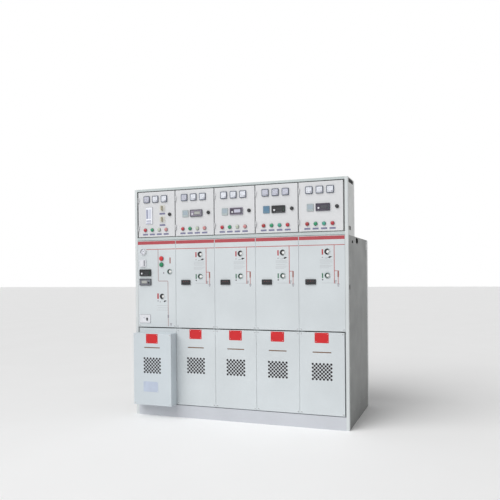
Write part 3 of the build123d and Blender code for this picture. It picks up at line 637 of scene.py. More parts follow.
def finish_tree(tree, last, group_in, group_out):
    """Ends a tree as the export needs it: realised, and with its material set."""
    realise = tree.nodes.new("GeometryNodeRealizeInstances")
    paint = tree.nodes.new("GeometryNodeSetMaterial")
    tree.links.new(last, realise.inputs["Geometry"])
    tree.links.new(realise.outputs["Geometry"], paint.inputs["Geometry"])
    tree.links.new(group_in.outputs["Finish"], paint.inputs["Material"])
    tree.links.new(paint.outputs["Geometry"], group_out.inputs["Geometry"])


def heads_tree():
    inputs = [("Head", "Object"), ("Size", "Float"), ("Turn", "Float"), ("Seed", "Int")]
    tree, group_in, group_out = new_tree("heads_on_points", inputs + [("Finish", "Material")])
    nodes, links = tree.nodes, tree.links
    points = nodes.new("GeometryNodeMeshToPoints")
    head = nodes.new("GeometryNodeObjectInfo")
    facing = nodes.new("GeometryNodeInputNamedAttribute")
    facing.data_type = "FLOAT_VECTOR"
    facing.inputs["Name"].default_value = "facing"
    align = nodes.new("FunctionNodeAlignRotationToVector")
    align.axis = "Z"
    angle = nodes.new("FunctionNodeRandomValue")
    spin = nodes.new("FunctionNodeAxisAngleToRotation")
    both = nodes.new("FunctionNodeRotateRotation")
    both.rotation_space = "LOCAL"
    place = nodes.new("GeometryNodeInstanceOnPoints")
    links.new(group_in.outputs["Geometry"], points.inputs["Mesh"])
    links.new(group_in.outputs["Head"], head.inputs["Object"])
    links.new(facing.outputs["Attribute"], align.inputs["Vector"])
    links.new(group_in.outputs["Turn"], angle.inputs[3])
    links.new(group_in.outputs["Seed"], angle.inputs["Seed"])
    links.new(angle.outputs[1], spin.inputs["Angle"])
    links.new(align.outputs["Rotation"], both.inputs["Rotation"])
    links.new(spin.outputs["Rotation"], both.inputs["Rotate By"])
    links.new(points.outputs["Points"], place.inputs["Points"])
    links.new(head.outputs["Geometry"], place.inputs["Instance"])
    links.new(both.outputs["Rotation"], place.inputs["Rotation"])
    links.new(group_in.outputs["Size"], place.inputs["Scale"])
    finish_tree(tree, place.outputs["Instances"], group_in, group_out)
    return tree


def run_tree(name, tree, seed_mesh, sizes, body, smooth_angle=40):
    """Runs a tree over a mesh and keeps the result as a plain piece."""
    seed = bpy.data.objects.new(f"{name}_seed", seed_mesh)
    bpy.context.scene.collection.objects.link(seed)
    modifier = seed.modifiers.new("tree", "NODES")
    modifier.node_group = tree
    for item in tree.interface.items_tree:
        if item.in_out == "INPUT" and item.name in sizes:
            modifier[item.identifier] = sizes[item.name]
    shown = bpy.context.evaluated_depsgraph_get()
    mesh = bpy.data.meshes.new_from_object(seed.evaluated_get(shown))
    mesh.name = name
    bpy.data.objects.remove(seed)
    mesh.shade_smooth()
    mesh.set_sharp_from_angle(angle=math.radians(smooth_angle))
    piece = bpy.data.objects.new(name, mesh)
    bpy.context.scene.collection.objects.link(piece)
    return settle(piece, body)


HEADS = heads_tree()


def polygon(sides, radius, steps):
    """A regular polygon with as many points as a circle beside it has."""
    points = []
    for step in range(steps):
        angle = 2 * math.pi * step / steps
        off_middle = (angle + math.pi / sides) % (2 * math.pi / sides) - math.pi / sides
        reach = radius / math.cos(off_middle)
        points.append((reach * math.cos(angle), reach * math.sin(angle)))
    return points


def head_shape(name, stack):
    """A head for the tree, one millimetre across, on the origin and facing up."""
    shell = bmesh.new()
    add_stack(shell, Face((0, 0, 0), (1, 0, 0), (0, 1, 0)), 0, 0, stack)
    bmesh.ops.recalc_face_normals(shell, faces=shell.faces)
    mesh = bpy.data.meshes.new(name)
    shell.to_mesh(mesh)
    shell.free()
    return bpy.data.objects.new(name, mesh)


FULL_TURN = 6.28


def set_heads(
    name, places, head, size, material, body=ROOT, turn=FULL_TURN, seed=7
):
    """Sets heads on a list of places: a face, and how far right, up and out on it."""
    mesh = bpy.data.meshes.new(f"{name}_points")
    mesh.from_pydata([face.at(u, v, w) for face, u, v, w in places], [], [])
    facing = mesh.attributes.new("facing", "FLOAT_VECTOR", "POINT")
    facing.data.foreach_set("vector", [part for face, *_ in places for part in face.out.normalized()])
    sizes = {"Head": head, "Size": size, "Turn": turn, "Seed": seed, "Finish": material}
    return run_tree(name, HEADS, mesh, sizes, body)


print("heads tree:", len(HEADS.nodes), "nodes")

# %% [markdown]
# A head is drawn once, one millimetre across, and the tree scales it. A socket screw is a low
# drum with a rounded rim and a six sided hole; a rivet is a plain dome; a key is a small drum with
# a soft edge. The hole is made of real faces, because a dark dot would not catch light. The screws
# on the outermost faces have a head that is nearly flush, so the unit is no bigger than its CAD.

# %% Heads
HEAD_STEPS = 24
socket_screw = head_shape(
    "socket_screw",
    [
        (circle(0.5, HEAD_STEPS), 0.0),
        (circle(0.5, HEAD_STEPS), 0.2),
        (circle(0.43, HEAD_STEPS), 0.3),
        (polygon(6, 0.25, HEAD_STEPS), 0.32),
        (polygon(6, 0.22, HEAD_STEPS), 0.29),
        (polygon(6, 0.22, HEAD_STEPS), 0.08),
        (None, 0.04),
    ],
)
low_screw = head_shape(
    "low_screw",
    [
        (circle(0.5, HEAD_STEPS), 0.0),
        (circle(0.5, HEAD_STEPS), 0.014),
        (circle(0.46, HEAD_STEPS), 0.024),
        (polygon(6, 0.25, HEAD_STEPS), 0.024),
        (polygon(6, 0.22, HEAD_STEPS), 0.008),
        (None, 0.006),
    ],
)
rivet = head_shape(
    "rivet",
    [(circle(0.5, 16), 0.0), (circle(0.47, 16), 0.12), (circle(0.3, 16), 0.24), (None, 0.28)],
)
drum_key = head_shape(
    "drum_key",
    [(circle(0.5, 20), 0.0), (circle(0.5, 20), 0.2), (circle(0.42, 20), 0.28), (None, 0.29)],
)
lamp_dome = head_shape(
    "lamp_dome",
    [(circle(0.5, 16), 0.0), (circle(0.5, 16), 0.1), (circle(0.38, 16), 0.32), (None, 0.42)],
)
print("heads drawn")

# %% [markdown]
# The panels, covers and sheets are held by rows of screws, which sit a little way in from the
# edges. Their places follow the edges of the CAD sheets, so the rows stay on the sheets whatever
# their size. The front panels have them at their lower corners only.

# %% Screws
CORNER_INSET = 12.0
EDGE_INSET = 14.0
TOP_INSET = 16.0
PLATE_SCREW = 9.0
LOW_ROW = 800.0
SIDE_HEIGHTS = (110.0, 425.0, 740.0, 1055.0, BODY_TOP - TOP_INSET)


def row(face, start, finish, count, w=0.0):
    """Evenly spaced places on a face, between two points."""
    places = []
    for step in range(count):
        part = step / (count - 1)
        u = start[0] + (finish[0] - start[0]) * part
        v = start[1] + (finish[1] - start[1]) * part
        places.append((face, u, v, w))
    return places


def inner_edges(node, inset):
    """The lines a little way inside a sheet's edges: left, right, low and high."""
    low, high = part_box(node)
    return low.x / MM + inset, high.x / MM - inset, low.z / MM + inset, high.z / MM - inset


def corners_of(node, face=front):
    left, right, bottom, top = inner_edges(node, CORNER_INSET)
    return [(face, u, v, 0.0) for u in (left, right) for v in (bottom, top)]


panel_screws = []
for bay in BAYS:
    panel_screws += [place for place in corners_of(f"front_panel_{bay}") if place[2] < LOW_ROW]
    panel_screws += corners_of(f"cable_cover_{bay}") if bay > 1 else []
hood_place = corners_of("cable_hood_1", hood_front)
set_heads("front_screws", panel_screws, socket_screw, PLATE_SCREW, nickel, seed=3)
set_heads("hood_screws", hood_place, low_screw, PLATE_SCREW, nickel, seed=4)

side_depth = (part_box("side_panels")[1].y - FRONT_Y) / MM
side_screws = []
for face, sign in ((right_side, 1), (left_side, -1)):
    near, far = sign * 44.0, sign * (side_depth - EDGE_INSET)
    for v in SIDE_HEIGHTS:
        side_screws += [(face, near, v, 0.0), (face, far, v, 0.0)]
    side_screws += row(face, (sign * 210.0, 106.0), (sign * 640.0, 106.0), 3)
set_heads("side_screws", side_screws, low_screw, PLATE_SCREW, nickel, seed=5)


back_screws = []
left, right, bottom, top = inner_edges("back_panel", EDGE_INSET)
for v in (bottom, top):
    back_screws += row(body_back, (left, v), (right, v), 11)
for u in (left, right):
    back_screws += row(body_back, (u, 260), (u, 1210), 5)
left, right, bottom, top = inner_edges("box_back", CORNER_INSET)
for v in (bottom, top):
    back_screws += row(box_rear, (left, v), (right, v), 9)
set_heads("back_screws", back_screws, low_screw, PLATE_SCREW, nickel, seed=9)

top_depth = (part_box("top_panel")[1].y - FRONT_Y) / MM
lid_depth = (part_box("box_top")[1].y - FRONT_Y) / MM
left, right = UNIT_LEFT + TOP_INSET, UNIT_RIGHT - TOP_INSET
top_screws = row(body_top, (left, top_depth - EDGE_INSET), (right, top_depth - EDGE_INSET), 9)
for u in (left, right):
    top_screws += row(body_top, (u, 300), (u, top_depth - 180), 3)
for v in (EDGE_INSET, lid_depth - EDGE_INSET):
    top_screws += row(box_lid, (left, v), (right, v), 7)
set_heads("top_screws", top_screws, low_screw, PLATE_SCREW, nickel, seed=11)
print("screws:", len(panel_screws + side_screws + back_screws + top_screws))

# %% [markdown]
# Each door carries a row of three square moving coil meters. The real one is a dark moulded frame
# round a pane, with a printed card behind it: a quarter circle scale, a needle, and a cover over
# the pivot in the lower right corner. At rest, with no current, the needle lies at the start of
# its scale. The CAD bezel is the frame's base, and these pieces stand on it.

# %% Geometry Nodes: dial scales


def scale_tree():
    inputs = [("Radius", "Float"), ("Start", "Float"), ("Sweep", "Float"), ("Divisions", "Int")]
    inputs += [("Tick Length", "Float"), ("Tick Width", "Float"), ("Finish", "Material")]
    tree, group_in, group_out = new_tree("dial_scale", inputs)
    nodes, links = tree.nodes, tree.links
    arc = nodes.new("GeometryNodeCurveArc")
    points = nodes.new("GeometryNodeCurveToPoints")
    points.mode = "EVALUATED"
    tick = nodes.new("GeometryNodeMeshCube")
    tick_size = nodes.new("ShaderNodeCombineXYZ")
    tick_size.inputs["Z"].default_value = 0.0003
    align = nodes.new("FunctionNodeAlignRotationToVector")
    align.axis = "Y"
    ticks = nodes.new("GeometryNodeInstanceOnPoints")
    stand = nodes.new("GeometryNodeTransform")
    stand.inputs["Rotation"].default_value = (math.radians(90), 0, 0)
    pivots = nodes.new("GeometryNodeMeshToPoints")
    place = nodes.new("GeometryNodeInstanceOnPoints")
    links.new(group_in.outputs["Radius"], arc.inputs["Radius"])
    links.new(group_in.outputs["Start"], arc.inputs["Start Angle"])
    links.new(group_in.outputs["Sweep"], arc.inputs["Sweep Angle"])
    links.new(group_in.outputs["Divisions"], arc.inputs["Resolution"])
    links.new(arc.outputs["Curve"], points.inputs["Curve"])
    links.new(group_in.outputs["Tick Length"], tick_size.inputs["X"])
    links.new(group_in.outputs["Tick Width"], tick_size.inputs["Y"])
    links.new(tick_size.outputs["Vector"], tick.inputs["Size"])
    links.new(points.outputs["Tangent"], align.inputs["Vector"])
    links.new(points.outputs["Points"], ticks.inputs["Points"])
    links.new(tick.outputs["Mesh"], ticks.inputs["Instance"])
    links.new(align.outputs["Rotation"], ticks.inputs["Rotation"])
    links.new(ticks.outputs["Instances"], stand.inputs["Geometry"])
    links.new(group_in.outputs["Geometry"], pivots.inputs["Mesh"])
    links.new(pivots.outputs["Points"], place.inputs["Points"])
    links.new(stand.outputs["Geometry"], place.inputs["Instance"])
    finish_tree(tree, place.outputs["Instances"], group_in, group_out)
    return tree


SCALES = scale_tree()


def set_scales(name, pivots, radius, start, sweep, divisions, tick, body, material=None):
    """Prints one scale round each pivot: tick is the length and width of its marks."""
    mesh = bpy.data.meshes.new(f"{name}_pivots")
    mesh.from_pydata([face.at(u, v, w) for face, u, v, w in pivots], [], [])
    sizes = {"Radius": radius * MM, "Start": math.radians(start), "Sweep": math.radians(sweep)}
    sizes |= {"Divisions": divisions, "Tick Length": tick[0] * MM, "Tick Width": tick[1] * MM}
    sizes["Finish"] = material or ink
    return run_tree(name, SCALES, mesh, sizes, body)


print("scale tree:", len(SCALES.nodes), "nodes")

# %% Meters
METER_OFFSETS = (79.0, 154.5, 230.0)
METER_HEIGHT = DOOR_TOP - 57.0
METER_SIZE = 51.0
METER_BORDER = 4.4
BEZEL = 6.0
CARD = BEZEL + 0.4
GREY_CARDS = {1: (79.0,), 2: (79.0,), 4: METER_OFFSETS}
PIVOT = 13.5


def make_meters(bay):
    body = f"door_{bay}"
    frames, cards, greys, covers, needles, panes = (bmesh.new() for _ in range(6))
    pivots = []
    for offset in METER_OFFSETS:
        u, v = BAY_LINES[bay] + offset, METER_HEIGHT
        add_surround(frames, front, u, v, METER_SIZE, METER_SIZE, METER_BORDER, BEZEL, 2.4, 5.0, 0.8)
        card = greys if offset in GREY_CARDS.get(bay, ()) else cards
        window = METER_SIZE - 2 * METER_BORDER
        add_plate(card, front, u, v, window, window, BEZEL - 0.2, 0.6, 1.5, 0.1)
        pivot_u, pivot_v = u + PIVOT, v - PIVOT
        drum = [(5.6, CARD), (5.6, CARD + 0.7), (4.8, CARD + 1.1), (0, CARD + 1.2)]
        add_turned(covers, front, pivot_u, pivot_v, drum)
        tip = (pivot_u - 27.0, pivot_v + 2.0)
        add_bar(needles, front, (pivot_u, pivot_v), tip, 0.8, CARD + 0.5, 0.3)
        add_plate(panes, front, u, v, window + 0.4, window + 0.4, CARD + 1.3, 0.5, 1.5, 0.1)
        pivots.append((front, pivot_u, pivot_v, CARD + 0.15))
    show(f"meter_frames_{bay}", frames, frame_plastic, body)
    if cards.faces:
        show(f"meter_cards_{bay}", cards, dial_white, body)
    if greys.faces:
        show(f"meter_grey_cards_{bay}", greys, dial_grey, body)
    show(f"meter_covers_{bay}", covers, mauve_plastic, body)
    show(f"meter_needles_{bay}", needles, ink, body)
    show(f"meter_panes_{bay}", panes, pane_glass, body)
    set_scales(f"meter_ticks_{bay}", pivots, 25.5, 90, 90, 11, (2.2, 0.4), body, rule_grey)
    set_scales(f"meter_arcs_{bay}", pivots, 23.6, 90, 90, 61, (0.3, 0.75), body, rule_grey)


for bay in BAYS:
    make_meters(bay)
print("meters:", 3 * len(BAYS))

# %% [markdown]
# Below the meters of bays two to five sit a small signal device and a protection relay. Both are
# moulded cases pushed into a cut-out. The relay has a proud frame, a sunk face with a screen, a
# round key at its lower left and a few small ones; the units differ only in the colour of their
# mouldings, so one function makes them all and takes the finishes as a set.

# %% Relays and signal devices
BUTTON_HEIGHT = DOOR_LOW + 53.0
MIDDLE_HEIGHT = (METER_HEIGHT + BUTTON_HEIGHT) / 2
RELAY_HEIGHT = MIDDLE_HEIGHT - 4.0
RELAY_SIZE = (101.0, 52.0)
SIGNAL_SIZE = (48.0, 52.0)
SIGNAL_BEZEL = 3.0


def make_relay(tag, u, v, body, casing, face_finish, screen_finish, key_finish=pale_plastic, flip=1):
    """A relay's front: its frame, its sunk face, a screen with its rim, and keys and lamps.

    A flip of -1 puts the round key at the right and the screen at the left.
    """
    width, height = RELAY_SIZE
    frames, faces, screens = bmesh.new(), bmesh.new(), bmesh.new()
    add_surround(frames, front, u, v, width, height, 5.0, BEZEL, 2.4, 4.0, 0.8)
    add_surround(frames, front, u + flip * 9.0, v + 1.0, 52.0, 26.0, 2.2, BEZEL + 0.5, 1.2, 2.0, 0.4)
    add_plate(faces, front, u, v, width - 9.6, height - 9.6, BEZEL - 0.2, 0.7, 1.0, 0.1)
    add_plate(screens, front, u + flip * 9.0, v + 1.0, 47.8, 21.8, BEZEL + 0.4, 0.5, 0.6, 0.1)
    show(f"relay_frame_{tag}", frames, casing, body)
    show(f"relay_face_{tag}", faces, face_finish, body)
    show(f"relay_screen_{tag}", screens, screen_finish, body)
    knob = bmesh.new()
    profile = [(6.8, BEZEL + 0.4), (6.8, BEZEL + 3.0), (6.0, BEZEL + 3.8), (0, BEZEL + 4.0)]
    add_turned(knob, front, u - flip * 29.5, v - 6.0, profile)
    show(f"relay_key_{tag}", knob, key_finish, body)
    keys = row(front, (u - 10.0, v - 17.0), (u + 24.0, v - 17.0), 5, BEZEL + 0.5)
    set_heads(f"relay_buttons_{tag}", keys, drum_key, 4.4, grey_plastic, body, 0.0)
    lamps = row(front, (u + 40.0, v + 12.0), (u + 40.0, v - 12.0), 4, BEZEL + 0.5)
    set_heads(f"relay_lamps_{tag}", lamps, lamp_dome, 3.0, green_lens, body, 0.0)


def make_signal_device(bay, casing, window_finish):
    """A square signal device: a proud rim, a sunk window and three small lamps."""
    u, v = BAY_LINES[bay] + 87.0, RELAY_HEIGHT
    body = f"door_{bay}"
    case, window = bmesh.new(), bmesh.new()
    add_plate(case, front, u, v, *SIGNAL_SIZE, SIGNAL_BEZEL - 0.2, 1.0, 3.0, 0.4)
    add_surround(case, front, u, v, *SIGNAL_SIZE, 4.0, SIGNAL_BEZEL + 0.7, 1.3, 3.0, 0.5)
    add_plate(window, front, u, v + 3.0, 36.0, 30.0, SIGNAL_BEZEL + 0.7, 0.5, 1.0, 0.1)
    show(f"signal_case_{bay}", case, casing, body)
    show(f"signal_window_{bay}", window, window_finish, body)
    lamps = row(front, (u - 11.0, v - 17.5), (u + 11.0, v - 17.5), 3, SIGNAL_BEZEL + 0.8)
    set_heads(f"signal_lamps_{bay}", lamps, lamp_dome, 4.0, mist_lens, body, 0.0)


signal_mist = film("signal_mist", (158, 172, 182), 0.22, 0.5)
signal_blue = film("signal_blue", (84, 122, 150), 0.22, 0.5)
DOOR_RELAYS = {
    2: (screen_dark, mauve_plastic, screen_pale),
    3: (mauve_plastic, violet_plastic, dial_grey),
    4: (black_plastic, black_plastic, screen_black),
    5: (violet_plastic, violet_plastic, screen_dark),
}
for bay, finishes in DOOR_RELAYS.items():
    make_relay(f"door_{bay}", BAY_LINES[bay] + 177.5, RELAY_HEIGHT, f"door_{bay}", *finishes)
    casing, window = (blue_plastic, signal_blue) if bay == 4 else (mist_plastic, signal_mist)
    make_signal_device(bay, casing, window)
print("relays:", len(DOOR_RELAYS))

# %% [markdown]
# Along the foot of every door runs a row of four lit push buttons, each over an engraved strip.
# The CAD has the metal ring and the contact block behind the sheet. The cap is a turned lens with
# a soft dome: it stands well out of its ring, so its side catches shade and it reads as round.

# %% Push buttons, strips and locks
BUTTON_OFFSETS = (64.5, 124.5, 184.5, 244.5)
CAP_PROFILE = [(13.0, 3.8), (13.0, 7.0), (12.2, 8.4), (8.4, 9.6), (0, 10.0)]
BUTTON_CAPS = {
    "early": (("red", red_lens), ("green", green_lens), ("mist", mist_lens), ("rose", rose_lens)),
    "late": (("brick", brick_lens), ("green", green_lens), ("teal", teal_lens), ("red", red_lens)),
}
CAP_SLOTS = dict.fromkeys(("red", "brick"), "red_plastic")
CAP_SLOTS |= dict.fromkeys(("green", "teal"), "green_plastic")
STRIP_HEIGHT = DOOR_LOW + 19.0


def make_buttons(bay):
    body = f"door_{bay}"
    strips = bmesh.new()
    caps = BUTTON_CAPS["late" if bay > 3 else "early"]
    for offset, (colour, lens) in zip(BUTTON_OFFSETS, caps):
        u = BAY_LINES[bay] + offset
        cap = bmesh.new()
        add_turned(cap, front, u, BUTTON_HEIGHT, CAP_PROFILE)
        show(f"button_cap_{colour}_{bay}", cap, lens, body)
        add_plate(strips, front, u, STRIP_HEIGHT, 43.0, 12.0, 0.0, 1.0, 1.2, 0.3)
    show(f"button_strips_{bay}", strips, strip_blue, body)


def make_lock_face(bay):
    """The cylinder of a lock: a dark disc with a plated key slot, in the black housing."""
    u, v = BAY_LINES[bay] + BAY_PITCH - 46.0, MIDDLE_HEIGHT - 3.0
    disc, slot = bmesh.new(), bmesh.new()
    add_turned(disc, front, u, v, [(6.4, 8.8), (6.4, 9.3), (6.0, 9.5), (0, 9.5)])
    add_plate(slot, front, u, v, 1.6, 7.0, 9.4, 0.2, 0.5, 0.05)
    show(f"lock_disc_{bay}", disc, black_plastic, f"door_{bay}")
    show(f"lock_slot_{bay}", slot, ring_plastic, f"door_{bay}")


strip_blue = film("strip_blue", (116, 116, 146), 0.5, 0.0)
for bay in BAYS:
    make_buttons(bay)
    make_lock_face(bay)
print("button caps:", 4 * len(BAYS))

# %% [markdown]
# The first door is different: it has a tall status display in place of a relay, and two rotary
# selectors. The CAD's selectors are plain blocks, so these pieces replace them: a square plate, a
# round collar and a grip whose sides lean in, with a pointer line, on the same neck and contact
# block.

# %% Status display and selectors
STATUS_PLACE = (BAY_LINES[1] + 99.0, MIDDLE_HEIGHT - 8.0)
SELECTOR_U = BAY_LINES[1] + 213.0
SELECTOR_VS = (MIDDLE_HEIGHT - 39.0, MIDDLE_HEIGHT + 46.0)


def make_status_display():
    u, v = STATUS_PLACE
    sheet, dark, pale = bmesh.new(), bmesh.new(), bmesh.new()
    add_plate(sheet, front, u, v, 58.0, 130.0, SIGNAL_BEZEL - 0.2, 0.7, 2.5, 0.2)
    add_plate(dark, front, u - 17.0, v + 13.0, 14.0, 72.0, SIGNAL_BEZEL + 0.4, 0.4, 1.0, 0.1)
    add_plate(pale, front, u + 5.0, v + 13.0, 24.0, 72.0, SIGNAL_BEZEL + 0.4, 0.4, 1.0, 0.1)
    for drop in (40.0, 56.0):
        add_plate(dark, front, u - 3.0, v - drop, 42.0, 7.0, SIGNAL_BEZEL + 0.4, 0.5, 1.0, 0.1)
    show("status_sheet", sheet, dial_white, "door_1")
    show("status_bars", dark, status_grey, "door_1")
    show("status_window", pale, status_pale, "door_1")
    lamps = row(front, (u - 17.0, v + 42.0), (u - 17.0, v - 16.0), 6, SIGNAL_BEZEL + 0.7)
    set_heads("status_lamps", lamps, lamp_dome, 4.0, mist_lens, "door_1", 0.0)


def add_grip(shell, u, v):
    """A pointer grip at its upright position: narrow, with leaning sides and a rounded top."""
    stack = []
    for width, height, w in ((14, 36, 7), (13, 36, 12), (11.5, 34.5, 17), (9, 32, 18.8), (7, 30, 19)):
        stack.append((rounded(width, height, 5.5), float(w)))
    add_stack(shell, front, u, v, stack)


def make_selectors():
    base, grips, lines, strips = bmesh.new(), bmesh.new(), bmesh.new(), bmesh.new()
    for v in SELECTOR_VS:
        u = SELECTOR_U
        add_plate(base, front, u, v, 46.0, 46.0, 0.0, 3.0, 3.0, 0.6)
        add_turned(base, front, u, v, [(17.0, 2.8), (17.0, 6.0), (16.0, 7.2), (0, 7.3)])
        add_turned(base, front, u, v, [(11.0, -12.0), (11.0, 0.1)])
        add_plate(base, front, u, v, 30.0, 38.0, -46.0, 34.0, 1.0, 0.3)
        add_grip(grips, u, v)
        add_bar(lines, front, (u, v + 15.0), (u, v + 5.0), 1.6, 18.9, 0.1)
    for v in (MIDDLE_HEIGHT + 4.0, MIDDLE_HEIGHT - 83.0):
        add_plate(strips, front, SELECTOR_U, v, 48.0, 13.0, 0.0, 1.0, 1.2, 0.3)
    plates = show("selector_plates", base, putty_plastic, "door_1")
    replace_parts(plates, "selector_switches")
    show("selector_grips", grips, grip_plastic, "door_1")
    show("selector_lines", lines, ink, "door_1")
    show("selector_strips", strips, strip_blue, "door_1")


status_grey = film("status_grey", (140, 144, 172), 0.4, 0.1)
status_pale = film("status_pale", (200, 204, 218), 0.4, 0.1)
grip_plastic = moulded("grip_plastic", (166, 160, 140), 0.5)
make_status_display()
make_selectors()
print("first door dressed")

# %% [markdown]
# Under the instrument box a red band runs along the front panels, and below it the mimic diagram:
# the single line diagram of the circuit, made of film strips. The strips follow a path, so a node
# tree sweeps them: the path's corners are rounded, a flat profile runs along it, and its face is
# held flat against the panel by giving the curve a fixed normal.

# %% Geometry Nodes: swept strips


def strip_tree():
    inputs = [("Width", "Float"), ("Thickness", "Float"), ("Bend", "Float"), ("Facing", "Vector")]
    tree, group_in, group_out = new_tree("swept_strip", inputs + [("Finish", "Material")])
    nodes, links = tree.nodes, tree.links
    path = nodes.new("GeometryNodeMeshToCurve")
    bend = nodes.new("GeometryNodeFilletCurve")
    bend.mode = "POLY"
    bend.inputs["Count"].default_value = 6
    bend.inputs["Limit Radius"].default_value = True
    lie = nodes.new("GeometryNodeSetCurveNormal")
    lie.mode = "FREE"
    profile = nodes.new("GeometryNodeCurvePrimitiveQuadrilateral")
    sweep = nodes.new("GeometryNodeCurveToMesh")
    sweep.inputs["Fill Caps"].default_value = True
    links.new(group_in.outputs["Geometry"], path.inputs["Mesh"])
    links.new(path.outputs["Curve"], bend.inputs["Curve"])
    links.new(group_in.outputs["Bend"], bend.inputs["Radius"])
    links.new(bend.outputs["Curve"], lie.inputs["Curve"])
    links.new(group_in.outputs["Facing"], lie.inputs["Normal"])
    links.new(group_in.outputs["Thickness"], profile.inputs["Width"])
    links.new(group_in.outputs["Width"], profile.inputs["Height"])
    links.new(lie.outputs["Curve"], sweep.inputs["Curve"])
    links.new(profile.outputs["Curve"], sweep.inputs["Profile Curve"])
    finish_tree(tree, sweep.outputs["Mesh"], group_in, group_out)
    return tree


STRIPS = strip_tree()


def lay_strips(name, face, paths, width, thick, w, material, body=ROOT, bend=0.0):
    """Lays strips along paths of points on a face, with their backs at height w."""
    points, edges = [], []
    for path in paths:
        first = len(points)
        points += [face.at(u, v, w + thick / 2) for u, v in path]
        edges += [(first + i, first + i + 1) for i in range(len(path) - 1)]
    mesh = bpy.data.meshes.new(f"{name}_paths")
    mesh.from_pydata(points, edges, [])
    sizes = {"Width": width * MM, "Thickness": thick * MM, "Bend": bend * MM}
    sizes |= {"Facing": face.out, "Finish": material}
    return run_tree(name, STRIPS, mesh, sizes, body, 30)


def panel_span(bay, inset=1.6):
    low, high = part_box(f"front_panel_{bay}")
    return low.x / MM + inset, high.x / MM - inset


def make_band():
    band = bmesh.new()
    for bay in BAYS:
        start, finish = panel_span(bay)
        middle = (start + finish) / 2
        add_plate(band, front, middle, PANEL_TOP - 16.5, finish - start, 25.0, 0.0, 0.35, 0.5, 0.1)
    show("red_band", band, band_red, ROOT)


BUS_HEIGHT = PANEL_TOP - 67.0
FEEDER = 254.0
make_band()
bus = []
for bay in BAYS:
    start, finish = panel_span(bay)
    bus.append([(max(start, UNIT_LEFT + 99.0), BUS_HEIGHT), (finish, BUS_HEIGHT)])
lay_strips("mimic_bus", front, bus, 5.0, 0.3, 0.0, mimic_red)
feeders, branches = [], []
for bay in list(BAYS)[1:]:
    u = BAY_LINES[bay] + FEEDER
    feeders.append([(u, BUS_HEIGHT - 2.5), (u, PANEL_TOP - 335.0)])
    fork = PANEL_TOP - 247.0
    branches.append([(u + 2.5, fork), (u + 27.0, fork), (u + 27.0, fork - 92.0)])
lay_strips("mimic_feeders", front, feeders, 5.0, 0.3, 0.0, mimic_red)
lay_strips("mimic_branches", front, branches, 4.0, 0.3, 0.0, mimic_red, bend=2.0)

breaker_drop = PANEL_TOP - 312.0
breaker_u, trunk_u = UNIT_LEFT + 200.0, UNIT_LEFT + 283.0
breaker_line = [(breaker_u, BUS_HEIGHT - 2.5), (breaker_u, breaker_drop), (trunk_u, breaker_drop)]
breaker_line.append((trunk_u, PANEL_LOW + 8.0))
lay_strips("mimic_breaker", front, [breaker_line], 5.0, 0.3, 0.0, mimic_grey, bend=5.0)
print("strip tree:", len(STRIPS.nodes), "nodes")

# %% [markdown]
# Each operating socket is a blind tube with a shaft end at its bottom. What the eye sees is a dark
# crescent beside a bright end: the black wall of the bore on one side, and the shade its rim casts
# into it. That shade is painted on the face round the upper sockets and the breaker socket as a dark
# crescent, an outer arc and an inner arc set off from it, and the bore gets a black liner and a plated
# six sided shaft.

# %% Operating sockets and their marks
SOCKET_OFFSET = 206.0
UPPER_SOCKET = PANEL_TOP - 113.0
LOWER_SOCKET = PANEL_TOP - 279.0
BREAKER_SOCKET = (BAY_LINES[1] + SOCKET_OFFSET, PANEL_TOP - 430.0)
EARTH_SOCKET = (BAY_LINES[1] + BAY_PITCH - 52.0, PANEL_TOP - 240.0)
FLANGE = 2.5


def crescent(outer, inner, shift, start, finish, steps=24):
    """The points of a crescent: an outer arc, and back along an inner arc set off by a shift."""
    turns = [math.radians(start + (finish - start) * step / steps) for step in range(steps + 1)]
    points = [(outer * math.cos(turn), outer * math.sin(turn)) for turn in turns]
    for turn in turns[::-1]:
        points.append((shift[0] + inner * math.cos(turn), shift[1] + inner * math.sin(turn)))
    return points


def add_cut(shell, face, u, v, points, base, thick):
    """A flat piece cut to an outline."""
    add_stack(shell, face, u, v, [(points, base), (points, base + thick)])


def make_sockets():
    liners, shafts, dark, green = (bmesh.new() for _ in range(4))
    uppers = [(BAY_LINES[bay] + SOCKET_OFFSET, UPPER_SOCKET) for bay in BAYS if bay > 1]
    lowers = [(BAY_LINES[bay] + SOCKET_OFFSET, LOWER_SOCKET) for bay in BAYS if bay > 1]
    for u, v in uppers + lowers + [BREAKER_SOCKET, EARTH_SOCKET]:
        add_turned(liners, front, u, v, [(15.3, -35.2), (15.3, 2.4), (14.6, 2.4), (14.6, -34.0)])
        six_sided, worn = polygon(6, 10.5, 24), polygon(6, 9.6, 24)
        add_stack(shafts, front, u, v, [(six_sided, -34.0), (six_sided, -5.2), (worn, -4.4)])
        add_turned(shafts, front, u, v, [(14.4, -16.0), (14.4, -14.0), (10.0, -13.0)])
    # Painted shade: a dark crescent on the face, thickest on one side, stands in for the shade inside
    # the rim.
    for u, v in uppers + [BREAKER_SOCKET]:
        add_cut(dark, front, u, v, crescent(21.0, 15.6, (4.6, -1.0), 48, 296), FLANGE, 0.8)
    for u, v in lowers + [EARTH_SOCKET]:
        add_cut(green, front, u, v, crescent(20.6, 17.0, (1.6, -0.6), 20, 340), FLANGE, 0.8)
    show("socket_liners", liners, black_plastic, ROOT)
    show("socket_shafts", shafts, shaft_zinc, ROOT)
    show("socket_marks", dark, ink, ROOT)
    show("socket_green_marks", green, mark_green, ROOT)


shaft_zinc = brushed_metal("shaft_zinc", (228, 229, 228), 0.42, (30, 30, 30))
mark_green = film("mark_green", (88, 116, 108), 0.5, 0.0)
make_sockets()
print("sockets:", 2 * (len(BAYS) - 1) + 2)

# %% [markdown]
# Round the sockets stands the small print of the diagram: a coloured plate beside each socket, an
# arrow under the upper one, a few fine rules where the real panel carries text, and the earth and
# cable signs at the ends of the lines. No words are printed, only the rules.

